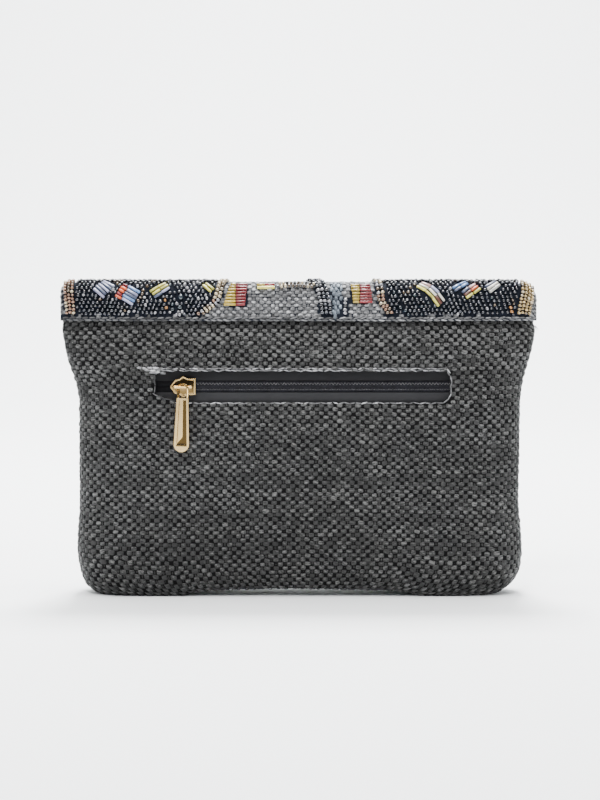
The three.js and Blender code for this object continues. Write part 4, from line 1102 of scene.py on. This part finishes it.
def field_colours(side, x, s):
    """Mixed dark strings, with lines and rings of other beads where the design has them."""
    colour = pick(["navy", "teal", "gunmetal", "steel", "silver"], FIELD_WEIGHTS[side], len(x))
    swirl = np.sin(np.hypot(x - SIGN[side] * RING_MIDDLE[0], s - RING_MIDDLE[1]) / RING_PITCH)
    patches = [(near_line(x, s, *line), one, two) for *line, one, two in LINES[side]]
    front = s > RINGS_START
    patches += [(front & (swirl > 0.93), "gold", "bronze"), (front & (swirl < -0.9), "silver", "steel")]
    for mask, one, two in patches:
        colour[mask] = pick([one, two], [70, 30], int(mask.sum()))
    return colour


# Larger smooth beads, half sunk among the others: across, up, radius
LARGE = np.array([(-72.2, 15.2, 2.1), (-73.0, 8.6, 1.9), (-77.6, 7.2, 1.7), (62.5, 8.6, 1.6)])

for side in SIGN:
    x, s = field_places(side)
    clear = (np.hypot(x[:, None] - LARGE[:, 0], s[:, None] - LARGE[:, 1]) > LARGE[:, 2] + 0.7).all(1)
    x, s = x[clear], s[clear]
    bead_piece(
        f"seed_field_{side}", x, s, chance.uniform(0, math.pi, len(x)), chance.uniform(1.02, 1.32, len(x)),
        field_colours(side, x, s), "beaded_cloth", [f"bead_field_{side}"],
    )
bead_piece(
    "large_beads", *LARGE.T[:2], np.array([0.3, 1.2, 2.0, 0.9]), LARGE[:, 2], pick(["teal"], [1], 4),
    "beaded_cloth", (), raised=-1.3,
)

# %% [markdown]
# ## Bead columns, borders and bands
#
# Along the sides, round the fields and over the bare middle the beads are set in neat rows, each
# strung on one thread. A row is a line on the flap that is stepped out at equal lengths, with each
# bead's hole along the line.

# %% Rows


def strung(line, start, end, pitch):
    """Places every pitch along a line x(s), by its length, with the line's direction at each."""
    s = np.linspace(start, end, 500)
    x = line(s)
    run = np.r_[0, np.cumsum(np.hypot(np.diff(x), np.diff(s)))]
    at = np.arange(pitch / 2, run[-1], pitch)
    s_at, x_at = np.interp(at, run, s), np.interp(at, run, x)
    return x_at, s_at, np.arctan2(np.interp(at, run, np.gradient(s)), np.interp(at, run, np.gradient(x)))


def rows_piece(name, line, width, count, pitch, end, paints, weights, slot, node):
    """Several strung rows side by side across a strip of the given width."""
    radius = min(width / count * 0.53, pitch * 0.62)
    found = []
    for k in range(count):
        aside = ((k + 0.5) / count - 0.5) * width
        found.append(strung(lambda s: line(s) + aside, BEADS_START + 0.2 + 0.35 * (k % 2), end, pitch))
    x, s, turn = (np.concatenate(part) for part in zip(*found))
    x, s = x + chance.normal(0, 0.07, len(x)), s + chance.normal(0, 0.07, len(x))
    bead_piece(
        name, x, s, turn + chance.normal(0, 0.12, len(x)), radius * chance.uniform(0.92, 1.06, len(x)),
        pick(paints, weights, len(x)), slot, [node],
    )


# For each side: rows and paints of its column, and shares of the border's paints
SIDE_ROWS = {
    "left": (3, ["copper", "bronze", "cream"], [55, 10, 20, 15]),
    "right": (4, ["gold", "cream", "bronze"], [30, 35, 15, 20]),
}
for side, (count, paints, shares) in SIDE_ROWS.items():
    width = EDGE_WIDTH[side]
    rows_piece(
        f"columns_{side}", lambda s: side_edge(side, EDGE_MARGIN[side] + width / 2, s), width, count, 2.35,
        BEADS_END, paints, [60, 20, 20], "gold_beads", f"bead_edge_{side}",
    )
    rows_piece(
        f"border_{side}", lambda s: field_edge(side, s) + SIGN[side] * BORDER_WIDTH / 2, BORDER_WIDTH + 0.4, 2,
        2.5, BEADS_END, ["cream", "copper", "silver", "bronze"], shares, "bronze_beads", f"bead_border_{side}",
    )
for name, table, width, count, pitch, paints, weights in (
    ("band_centre", CENTRE_BAND, BAND_WIDTH + 1.4, 3, 2.5, ["silver", "steel", "gunmetal"], [20, 45, 35]),
    ("column_centre", CENTRE_COLUMN, COLUMN_WIDTH - 1.0, 1, 2.2, ["silver", "gunmetal"], [70, 30]),
):
    rows_piece(
        name, lambda s: middle_line(table, s), width, count, pitch, table[-1, 0] * PATH, paints, weights,
        "bronze_beads", f"bead_{name}",
    )

# The band's arm: a short bowed double row along the fold, from the tube beads to the band
arm_x = np.concatenate([np.arange(-12.6, 8.6, 2.3), np.arange(-12.6, 8.6, 2.3) + 1.1])
arm_s = np.repeat([22.3, 24.7], len(arm_x) // 2) - 1.1 * ((arm_x + 2) / 11) ** 2
bead_piece(
    "band_arm", arm_x, arm_s, chance.normal(0, 0.15, len(arm_x)), chance.uniform(1.12, 1.28, len(arm_x)),
    pick(["cream", "bronze", "brown", "gunmetal"], [15, 35, 25, 25], len(arm_x)), "bronze_beads", (), raised=0.8,
)

# %% [markdown]
# ## Tube beads
#
# Tube beads are cut glass rods with a lining that shines through. They lie side by side like the
# barbs of a feather. Each rod in a group is a chain of one to three tubes whose colours change
# along it, as on the fans, which are gold on one half and red on the other.

# %% Tubes
GLASS = {
    "red": (0.16, 0.002, 0.006), "gold": (0.38, 0.27, 0.028), "yellow": (0.6, 0.55, 0.11),
    "olive": (0.34, 0.32, 0.06), "orange": (0.6, 0.09, 0.02), "lavender": (0.3, 0.31, 0.46),
    "blue": (0.12, 0.23, 0.46), "slate": (0.06, 0.075, 0.13), "white": (0.62, 0.6, 0.54),
    "pink": (0.5, 0.31, 0.29), "brown": (0.09, 0.025, 0.016), "pale": (0.36, 0.36, 0.34),
}
# For each group, one entry for each rod in turn: its paints, and their shares of its length
STRINGS = {
    "bugle_leaf_left": [("lavender", 1), ("slate", 1)],
    "bugle_leaf_right": [("orange lavender", 0.35, 0.65), ("red blue", 0.3, 0.7), ("orange slate", 0.3, 0.7)],
    "bugle_spray_left": [("slate lavender", 0.5, 0.5), ("yellow olive", 0.5, 0.5), ("olive yellow", 0.5, 0.5)],
    "bugle_spray_inner": [("yellow", 1), ("olive", 1)],
    "bugle_spray_centre": [("yellow", 1), ("gold red", 0.45, 0.55)],
    "bugle_curve": [
        ("yellow yellow yellow", 0.34, 0.33, 0.33), ("white white brown", 0.34, 0.33, 0.33),
        ("pink lavender white", 0.34, 0.33, 0.33),
    ],
    "bugle_pair_blue": [("slate blue", 0.5, 0.5), ("blue blue", 0.5, 0.5)],
    "bugle_pair_orange": [("yellow olive", 0.5, 0.5), ("brown orange", 0.5, 0.5), ("slate pink", 0.5, 0.5)],
    "bugle_spray_right": [("pale", 1), ("white", 1), ("slate", 1)],
}
BOWED = {"bugle_curve": 1.6}  # how far the middle of a rod stands off the line between its ends
# For each fan: where gold meets red from its middle, then the gold and the red lengths of the
# lowest and the highest rod
FANS = {"bugle_fan_left": (-1.1, (7.6, 3.4), (5.8, 7.4)), "bugle_fan_right": (-0.4, (4.0, 5.7), (8.2, 6.4))}
FAN_PITCH, FAN_SLIM = 1.95, 0.88  # a fan's rods are closer and slimmer than the others


def fan_rods(meeting, gold_ends, red_ends, count, room):
    """A fan's tubes, gold to the left and red to the right of where they meet. Each tube is its
    middle along and across the rods, its bend, its half length and its paint."""
    for k in range(count):
        ragged = chance.uniform(-0.35, 0.35) * 0.4
        gold, red = (low + (high - low) * k / (count - 1) for low, high in (gold_ends, red_ends))
        over = ((k + 0.5) / count - 0.5) * room
        yield meeting - gold / 2 + ragged, over, 0.0, gold / 2 - 0.1, "gold"
        yield meeting + red / 2 + ragged, over, 0.0, red / 2 - 0.1, "red"


def string_rods(strings, bow, count, length):
    """Tubes of rods that are strings of one to three tubes. A bowed rod stands off its line by
    bow * (0.6 - 4 m^2), m being a tube's middle as a share of the length."""
    for k in range(count):
        start, ragged = 0.0, chance.uniform(-0.35, 0.35)
        paints, *shares = strings[k % len(strings)]
        for paint, share in zip(paints.split(), shares):
            middle = start + share / 2 - 0.5
            over = (k + 0.5 - count / 2) * TUBE_PITCH + bow * (0.6 - 4 * middle ** 2)
            bend = math.atan(-8 * bow * middle / length)
            yield middle * length + ragged, over, bend, share * length / 2 - 0.12, paint
            start += share


for node, (across, along, turn_degrees, count, length) in TUBES.items():
    turn, room, fan = math.radians(turn_degrees), count * TUBE_PITCH, node in FANS
    if fan:
        tubes = list(fan_rods(*FANS[node], round(room / FAN_PITCH), room))
    else:
        tubes = list(string_rods(STRINGS[node], BOWED.get(node, 0.0), count, length))
    run, over, bent, half = (np.array([t[i] for t in tubes]) for i in range(4))
    colour = np.array([GLASS[t[4]] for t in tubes]) * chance.uniform(0.8, 1.15, (len(tubes), 1))
    x = across * WIDTH / 2 + run * math.cos(turn) - over * math.sin(turn)
    s = along * PATH + run * math.sin(turn) + over * math.cos(turn)
    size = chance.uniform(0.82, 0.94, len(tubes)) * (FAN_SLIM if fan else 1)
    angle = turn + bent + chance.normal(0, 0.03, len(tubes))
    lot = (TUBE_BEAD, x, s, angle, half, size, np.full(len(tubes), 0.12), colour)
    glass_piece(node.replace("bugle", "tubes"), [lot], tube_glass, "bugle_beads", [node])

# %% [markdown]
# ## The zip
#
# Inside the window lie two strips of dark facing cloth, the closed coil between them, and the gilt
# slider. The facings lean in towards the coil and are a little wavy. The coil is one surface with
# two rounded ridges whose ribs slant towards each other, with pale stitches along each ridge.

# %% Zip surfaces
FACING, FACING_SLOPE, FACING_MARGIN = 1.0, 1.1, 5.0
FACING_INSET = CLOTH + GAP
COIL_WIDTH, COIL_HEIGHT, COIL_GROOVE = 6.5, 3.0, 0.7
COIL_INSET = FACING_INSET + FACING_SLOPE + FACING + GAP + 1.0 - COIL_HEIGHT
ZIP_MIDDLE, ZIP_HALF = (WINDOW_LEFT + WINDOW_RIGHT) / 2, (WINDOW_RIGHT - WINDOW_LEFT) / 2 + FACING_MARGIN


def zip_point(x, z, inset):
    """A place behind the back panel's face at x and z, sunk by the inset."""
    x, z = np.broadcast_arrays(x, z)
    return np.stack([x, -(back_depth(x, z, body_reach(x, z)) + GAP / 2 - inset), z], -1)


def facing(name, sign, node, material):
    """A strip from the coil's slot to behind the window's edge: it leans in by the slope, and slow
    waves of a fifth of a millimetre run along it."""
    slot_edge, rim = COIL_WIDTH / 2 + GAP, WINDOW_HEIGHT / 2
    up = np.r_[np.linspace(slot_edge, rim, 12), np.linspace(rim, rim + FACING_MARGIN, 5)[1:]][:, None]
    x = np.linspace(ZIP_MIDDLE - ZIP_HALF, ZIP_MIDDLE + ZIP_HALF, 150)[None, :]
    lean = np.clip((rim - up) / (rim - slot_edge), 0, 1)
    waves = 0.16 * np.sin(x / 7.3 + sign) * np.sin(x / 17.0) + 0.1 * np.sin(x / 3.1 + up)
    inset = FACING_INSET + 0.1 + FACING_SLOPE * lean ** 1.4 + waves * (1 - lean) ** 0.5 * 0.6
    points = zip_point(x, ZIP_HEIGHT + sign * up, inset)
    faces = grid_faces(*points.shape[:2], flip=sign < 0)
    thicken(make_piece(name, points, faces, material, "zip_cloth", [node]), FACING * 0.8)


# The upper facing is a darker copy of the same cloth: painted shade, as if in the welt's shadow.
facing_cloth, shaded_facing = (
    dark_cloth(name, (grey, grey, blue), 420.0, roughness=0.75, strength=0.15) for name, grey, blue in (
        ("facing cloth", 0.026, 0.028), ("facing cloth in the welt's shade", 0.009, 0.01),
    )
)
tape_cloth = dark_cloth("zip tape", (0.005, 0.005, 0.006), 420.0)
facing("facing_upper", 1, "zip_facing_upper", shaded_facing)
facing("facing_lower", -1, "zip_facing_lower", facing_cloth)
for node in ("zip_tape_upper", "zip_tape_lower"):
    repaint(NODES[node].data, tape_cloth)

# %% Coil and stitches
COIL = np.array([
    (-0.5, 0.9), (-0.38, 0.1), (-0.27, 0), (-0.14, 0.1), (0, 1), (0.14, 0.1), (0.27, 0), (0.38, 0.1), (0.5, 0.9),
])
COIL_GRID = (23, 720)
SLIDER_X, SLIDER_LENGTH, SLIDER_SHELL = WINDOW_LEFT + 16.9, 15.4, 1.8
RIB_PITCH, STITCH_PITCH = 1.25, 1.05
coil_start = SLIDER_X - SLIDER_LENGTH / 2 + SLIDER_SHELL * 2 + GAP
coil_up = np.linspace(-0.5, 0.5, COIL_GRID[0])[:, None]
coil_x = np.linspace(coil_start, ZIP_MIDDLE + ZIP_HALF - 0.2, COIL_GRID[1])[None, :]
rib = np.cos((coil_x - np.abs(coil_up) * COIL_WIDTH * 0.55) * 2 * math.pi / RIB_PITCH)
groove = smooth_read(COIL[:, 0], COIL[:, 1], coil_up) * COIL_GROOVE
inset = COIL_INSET + 0.12 + groove - 0.1 * rib * (1 - groove / COIL_GROOVE)
nylon = mottled(
    "nylon coil", 0.5, (0.003, 0.003, 0.0045), (0.009, 0.009, 0.013), 600.0, Specular_IOR_Level=0.12,
)[0]
coil_points = zip_point(coil_x, ZIP_HEIGHT + coil_up * COIL_WIDTH, inset)
thicken(make_piece("coil", coil_points, grid_faces(*COIL_GRID), nylon, "zip_nylon", ["zip_coil"]), 1.2)

# The tape between the window's left end and the coil, parted in a narrow ridge
end_x = np.linspace(ZIP_MIDDLE - ZIP_HALF, coil_start, 30)[None, :]
end_up = np.linspace(-3.6, 3.6, 15)[:, None]
parting = np.exp(-(end_up / (0.3 + 0.05 * (coil_start - end_x))) ** 2)
inset = COIL_INSET + 1.6 + 1.1 * parting + 0.15 * np.sin(end_x / 2.1 + end_up)
make_piece("tape_end", zip_point(end_x, ZIP_HEIGHT + end_up, inset), grid_faces(15, 30), tape_cloth, "zip_cloth")

zip_x = np.linspace(ZIP_MIDDLE - ZIP_HALF, ZIP_MIDDLE + ZIP_HALF, 201)[None, :]
zip_z = np.linspace(ZIP_HEIGHT - 8, ZIP_HEIGHT + 8, 17)[:, None]
zip_plane = settle(zip_point(zip_x, zip_z, COIL_INSET + 0.1), -1, lambda a, w: ZIP_HALF, up=zip_z[:, 0])
stitch_rows = []
stitch_run = np.arange(coil_start + 3 - ZIP_MIDDLE, ZIP_HALF - 1.0, STITCH_PITCH)
zigzag = np.where(np.arange(len(stitch_run)) % 2 == 0, 1.0, -1.0)
for up, tone, slant, half_long in ((1.75, 0.9, 0.95, 0.8), (-1.75, 0.7, 0.5, 0.5)):
    heights = np.full(len(stitch_run), ZIP_HEIGHT + up)
    stitch_rows.append((stitch_run, heights, half_long, 0.22, zigzag * slant, 0.16, 0.14, tone))
zip_thread = yarn_material("zip thread", (0.004, 0.004, 0.005), (0.1, 0.098, 0.106), roughness=0.5)
lay_floats("zip_stitches", zip_plane, stitch_rows, zip_thread, "zip_cloth")

# %% [markdown]
# ## The window's edge
#
# Round the window the cut yarns are folded under and sewn, so the last ones lie along the edge as
# long bright floats. They follow the outline a little outside it, and a second row shows above
# the zip.

# %% Welt


def find_on(cloth, x, z):
    """The place across and up that lies at x and z, by moving there in steps of what is missing."""
    a, w = np.array(x, float), np.array(z, float)
    for _ in range(12):
        foot, _ = on_cloth(cloth, a, w)
        a, w = a + x - foot[..., 0], w + z - foot[..., 2]
    return a, w


def along_outline(offset, pitch, jitter=0.2):
    """Places every pitch round the window, moved outwards by the offset, with the edge's turn."""
    outline = np.vstack([OUTLINE, OUTLINE[:1]])
    run = np.r_[0, np.cumsum(np.linalg.norm(np.diff(outline, axis=0), axis=1))]
    at = np.arange(pitch / 2, run[-1], pitch)
    at = at + chance.normal(0, jitter, len(at))
    def outline_at(run_at):
        return [np.interp(np.clip(run_at, 0, run[-1]), run, outline[:, k]) for k in (0, 1)]

    (x, z), ahead, behind = outline_at(at), outline_at(at + 1.2), outline_at(at - 1.2)
    turn = np.arctan2(ahead[1] - behind[1], ahead[0] - behind[0])
    return x + np.sin(turn) * offset, z - np.cos(turn) * offset, turn


welt_rows = []
for offset, pitch, half_long, tone, only_above in ((0.6, 3.6, 2.1, 0.56, False), (1.75, 4.1, 2.2, 0.6, True)):
    x, z, turn = along_outline(offset, pitch)
    if only_above:
        above = z > WINDOW_HIGH
        x, z, turn = x[above], z[above], turn[above]
    a, w = find_on(back, x, z)
    turn = turn + np.where(np.arange(len(x)) % 2 == 0, 0.16, -0.14)
    tone = tone * np.where((x < WINDOW_LEFT + 14) & (z < WINDOW_HIGH - 1), 0.2, 1)  # dark at the left end
    tone = tone * np.where(z < ZIP_HEIGHT, 0.8, 1)
    welt_rows.append((a, w, half_long, 0.46, turn, 0.6, 0.12, tone))
# Pale yarns that hang over the upper left corner: height over the edge, first and last place
for above, first, last in ((2.2, -98.5, -86.0), (0.6, -93.5, -84.5), (-0.9, -90.5, -83.5)):
    x = np.arange(first, last, 3.3)
    a, w = find_on(back, x, WINDOW_HIGH + above + chance.normal(0, 0.2, len(x)))
    welt_rows.append((a, w, 1.9, 0.8, chance.normal(0, 0.12, len(x)), 0.7, 0.25, 0.66))
lay_floats("window_welt", back, welt_rows, flap_yarn, "woven_cloth")

# %% [markdown]
# ## Side seams
#
# Where the two halves meet at the sides, the weave folds over the seam. Short bands round a line
# between the halves close it and give the sides their slightly knobbly outline.

# %% Seam bands
BAND_GRID = (9, 4)
seam_w = np.arange(17.0, back["up"][-1] - 20.0, 2.62)
theta = np.linspace(-1.9, 1.9, BAND_GRID[0])[None, :, None]
v = np.linspace(-1, 1, BAND_GRID[1])[None, None, :]
for side, sign in SIGN.items():
    rim = np.full(len(seam_w), sign * HALF_CLOTH)
    edge, ahead = (on_cloth(back, rim, seam_w + step)[0] for step in (0, 0.5))
    way = ahead - edge
    way /= np.linalg.norm(way, axis=1, keepdims=True)
    outwards = np.stack([way[:, 2], 0 * way[:, 0], -way[:, 0]], -1) * sign
    radius = 0.95 * chance.uniform(0.85, 1.12, len(seam_w))[:, None, None] - 0.2 * v ** 4
    middle = edge * (1, 0, 1) - outwards * 0.45
    points = (
        middle[:, None, None] + outwards[:, None, None] * (radius * np.cos(theta))[..., None]
        + np.array([0.0, 1.0, 0.0]) * (radius * np.sin(theta) * 1.15)[..., None]
        + way[:, None, None] * (v * 1.22 + theta * 0.18)[..., None]
    )
    faces = repeated(grid_faces(*BAND_GRID, flip=sign < 0), len(seam_w), theta.size * v.size)
    tone = np.repeat(np.clip(chance.normal(0.62, 0.14, len(seam_w)), 0, 1), theta.size * v.size)
    uv = np.stack(np.broadcast_arrays(theta / 3.8 + 0.5, v * 0.5 + 0.5, points[..., 0])[:2], -1)
    make_piece(f"seam_{side}", points, faces, grey_yarn, "woven_cloth", values={"tone": tone}, uv=uv)

# %% Frayed tuft
THREADS, THREAD_GRID = 14, (7, 3)
root = np.array([148.2, -1.5, 168.5])
aim = np.stack([chance.uniform(low, high, THREADS) for low, high in ((0.3, 1), (-0.5, 0.5), (-0.9, 0.3))], -1)
long = chance.uniform(1.8, 3.6, THREADS)[:, None, None]
t = np.linspace(0, 1, THREAD_GRID[0])[None, :, None]
curl = np.array([0.0, 1.0, -1.0]) * chance.normal(0, 0.8, (THREADS, 1, 1))
line = root + chance.normal(0, 0.5, (THREADS, 1, 3)) * (0.3, 1, 1) + aim[:, None] * long * t + curl * t ** 2
corner = np.arange(3) * 2 * math.pi / 3
ring = np.stack([0.4 * np.cos(corner), np.cos(corner), np.sin(corner)], -1)
threads = line[:, :, None] + ring[None, None] * (0.17 * (1 - 0.6 * t))[..., None]
make_piece(
    "frayed_tuft", threads, repeated(grid_faces(*THREAD_GRID, closed=True), THREADS, t.size * 3), flap_yarn,
    "woven_cloth", values={"tone": np.full(threads.size // 3, 0.6)}, uv=np.full((threads.size // 3, 2), 0.5),
)

# %% [markdown]
# ## Gilt slider and puller
#
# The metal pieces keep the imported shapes. Copies of their meshes are merged and get small rounded
# edges, which is what catches the light on real castings. The gilding is pale, with faint handling
# marks in its roughness.

# %% Gilt pieces
gilt, gilt_tree, gilt_shader, gilt_colour, marks = mottled(
    "pale gilding", 0.14, (0.56, 0.38, 0.16), (0.68, 0.49, 0.23), 260.0, 5.0, 0.7, Metallic=1.0,
)
# Painted dark reflection and shade: where this share is set, the gilt is mixed towards dark brown, standing in for
# the dark that its sunk faces reflect.
painted_reflection_share = add(gilt_tree, "ShaderNodeAttribute", attribute_name="recess").outputs["Fac"]
feed(
    gilt_tree, gilt_shader, Base_Color=blend_colours(gilt_tree, painted_reflection_share, gilt_colour, (0.055, 0.032, 0.01)),
    Roughness=maths(gilt_tree, "MULTIPLY_ADD", marks, 0.22, 0.1),
)


def rounded_copy(node, name, width, body):
    """A merged copy of a node's mesh with narrow rounded edges."""
    mesh = NODES[node].data.copy()
    mesh.name = name
    piece = put_in_scene(name, mesh)
    repaint(mesh, gilt)
    for attribute in list(mesh.attributes):
        if not (attribute.is_required or attribute.is_internal or attribute.name == "sharp_face"):
            mesh.attributes.remove(attribute)
    piece.modifiers.new("weld", "WELD").merge_threshold = 0.00001
    edges = piece.modifiers.new("edges", "BEVEL")
    edges.width, edges.segments = width * MM, 2
    edges.limit_method, edges.angle_limit = "ANGLE", math.radians(38)
    edges.harden_normals = True
    mesh.polygons.foreach_set("use_smooth", [True] * len(mesh.polygons))
    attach(piece, body)
    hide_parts(node)


rounded_copy("zip_slider", "slider", 0.22, "clutch")
rounded_copy("zip_puller", "puller", 0.25, "puller")

# %% Relief inside the gilt rims
# The slider's outline: places along it, half widths, and how much of the point's rise each gets
SHIELD = np.array([(-0.5, 0.06, 0), (-0.33, 0.42, 0), (-0.14, 0.5, 0), (0, 0.5, 1), (0.2, 0.52, 0), (0.5, 0.5, 0)])
SLIDER_HEIGHT, SLIDER_POINT, SLIDER_PLATE = 9.8, 1.8, 1.6
RINGS, CORNERS = 7, 2 * len(SHIELD)
plate_front = float(zip_point(SLIDER_X, ZIP_HEIGHT, COIL_INSET - GAP)[1]) - SLIDER_PLATE
trim = np.linspace(0.8, 4.4, RINGS)[:, None]
shield_x = SLIDER_X + SHIELD[:, 0] * (SLIDER_LENGTH - 2 * trim)
shield_up = SHIELD[:, 1] * (SLIDER_HEIGHT - 2 * trim) + SHIELD[:, 2] * SLIDER_POINT * (1 - trim / 5)
ring_x = np.concatenate([shield_x, shield_x[:, ::-1]], axis=1)
ring_z = ZIP_HEIGHT + np.concatenate([shield_up, -shield_up[:, ::-1]], axis=1)
rings = np.stack(np.broadcast_arrays(ring_x, plate_front - 0.03 - 0.17 * (trim - 0.8), ring_z), -1)
tip = np.array([[SLIDER_X, plate_front - 0.67, ZIP_HEIGHT]])
around, inner = np.arange(CORNERS), (RINGS - 1) * CORNERS
tip_faces = np.stack([inner + around, np.full(CORNERS, inner + CORNERS), inner + (around + 1) % CORNERS], -1)
# The slider's face inside its rim is painted dark: painted dark reflection and shade, strongest on the inner
# rings.
painted_reflection_by_ring = np.repeat([0.3, 0.95, 0.92, 0.9, 0.86, 0.82, 0.8], CORNERS)
make_piece(
    "slider_face", np.vstack([rings.reshape(-1, 3), tip]),
    [grid_faces(RINGS, CORNERS, closed=True, flip=True), tip_faces], gilt, "pale_gold",
    values={"recess": np.r_[painted_reflection_by_ring, 0.8]},
)

PULLER_LENGTH, PULLER_TOP, PULLER_LEAN, PULLER_GRID = 40.3, -8.0, math.radians(1.8), (110, 61)
HALF_TOP, HALF_END = 2.3, 3.4  # half width of the dish at its top, and where its round end starts
bridge_x, dish = SLIDER_X + 0.1, plate_front - 0.85 - 2 * (0.7 + GAP) - 0.6
up = np.linspace(PULLER_TOP, -PULLER_LENGTH + 1.45, PULLER_GRID[0])[:, None]
u = np.linspace(-1, 1, PULLER_GRID[1])[None, :]
arc_up = HALF_END - (PULLER_LENGTH - 1.3)
straight = HALF_END + (HALF_TOP - HALF_END) * (up - arc_up) / (PULLER_TOP - arc_up)
half = np.where(up > arc_up, straight, np.sqrt(np.maximum(HALF_END ** 2 - (arc_up - up) ** 2, 0.04)))
ridge = 0.12 - 1.1 * smoothstep(up, -30.0, -36.0)
plateau = 0.4 * (1 - smoothstep(u, ridge, ridge + 0.16))
channel = 0.3 * smoothstep(u, 0.9, 1.0)
end = 0.46 * (1 - smoothstep(up, -36.6, -35.2))
groove = 0.3 * np.exp(-((u + 0.86) / 0.06) ** 2) * smoothstep(up, -36.5, -34)
relief = 0.03 + np.maximum(np.maximum(plateau, channel) - groove, end)
across = u * half * 0.99
panel = np.stack(np.broadcast_arrays(
    bridge_x + across * math.cos(PULLER_LEAN) + up * math.sin(PULLER_LEAN), dish - relief,
    ZIP_HEIGHT - across * math.sin(PULLER_LEAN) + up * math.cos(PULLER_LEAN),
), -1)
# Painted dark reflection and shade on the puller's face, the more the lower its relief.
recess = np.clip(1 - relief / 0.36, 0, 1) ** 0.5
make_piece(
    "puller_face", panel, grid_faces(*PULLER_GRID, flip=True), gilt, "pale_gold", body="puller",
    values={"recess": recess.ravel()},
)
repaint(NODES["magnet_snap"].data, mottled(
    "nickel", 0.35, (0.4, 0.4, 0.39), (0.55, 0.55, 0.53), 500.0, Metallic=1.0,
)[0])
puller_rim = min(v.co.y for v in NODES["zip_puller"].data.vertices) / MM
print(f"puller's dish at y {dish + MID_Y:.2f}, its rim at {puller_rim:.2f}")

# %% [markdown]
# ## Lights, floor and backdrop
#
# Beads and gilt metal show what is around them, so the room matters as much as the lamps: broad
# soft lights above and beside the camera, a pale sweep behind and below, and a dimmer surround
# that leaves dark reflections between the glints.

# %% Stage
bow = np.linspace(0, math.pi / 2, 14)[1:]
floor_run = np.r_[np.linspace(-2.6, 1.0, 10), 1.0 + 0.7 * np.sin(bow), np.full(6, 1.7)]
floor_up = np.r_[np.zeros(10), 0.7 - 0.7 * np.cos(bow), np.linspace(1.0, 3.4, 6)]
sweep = np.stack(np.broadcast_arrays(np.linspace(-3, 3, 7), floor_run[:, None], floor_up[:, None]), -1)
floor_mesh = bpy.data.meshes.new("floor")
floor_mesh.from_pydata(sweep.reshape(-1, 3).tolist(), [], grid_faces(*sweep.shape[:2]).tolist())
floor_mesh.polygons.foreach_set("use_smooth", [True] * len(floor_mesh.polygons))
floor = put_in_scene("floor", floor_mesh)
floor_paint, _, floor_shader = principled("pale paper", 0.9, Specular_IOR_Level=0.1)
floor_shader.inputs["Base Color"].default_value = (0.95, 0.965, 0.97, 1)
floor_mesh.materials.append(floor_paint)
floor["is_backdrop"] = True

world = bpy.data.worlds.new("studio")
bpy.context.scene.world = world
world.use_nodes = True
background = world.node_tree.nodes["Background"]
background.inputs["Color"].default_value = (0.86, 0.93, 1.0, 1)
background.inputs["Strength"].default_value = 0.16

# %% Lamps
# Square area lights: place, what they face, size in metres, power in watts
LAMPS = {
    "key": ((-0.3, -0.85, 1.55), (0, 0, 0.1), 0.5, 27),
    "top": ((0.05, 0.7, 1.75), (0, 0, 0.1), 0.5, 104),
    "side": ((1.5, -0.7, 0.7), (0, 0, 0.12), 0.7, 9),
    "far side": ((-1.5, -0.4, 0.6), (0, 0, 0.12), 0.7, 7),
    "wall": ((0, 0.4, 1.9), (0, 1.7, 0.7), 1.8, 107),
}
for name, (place, faced, size, power) in LAMPS.items():
    light = bpy.data.lights.new(name, "AREA")
    light.size, light.energy = size, power
    holder = put_in_scene(name, light)
    holder.location = place
    holder.rotation_euler = (Vector(faced) - Vector(place)).to_track_quat("-Z", "Y").to_euler()
print("lights:", list(LAMPS))

# %% [markdown]
# ## The visual box, and finish

# %% Finish
size_now = [list(corner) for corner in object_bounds()]
print("visual box:", [[round(v, 4) for v in corner] for corner in size_now])
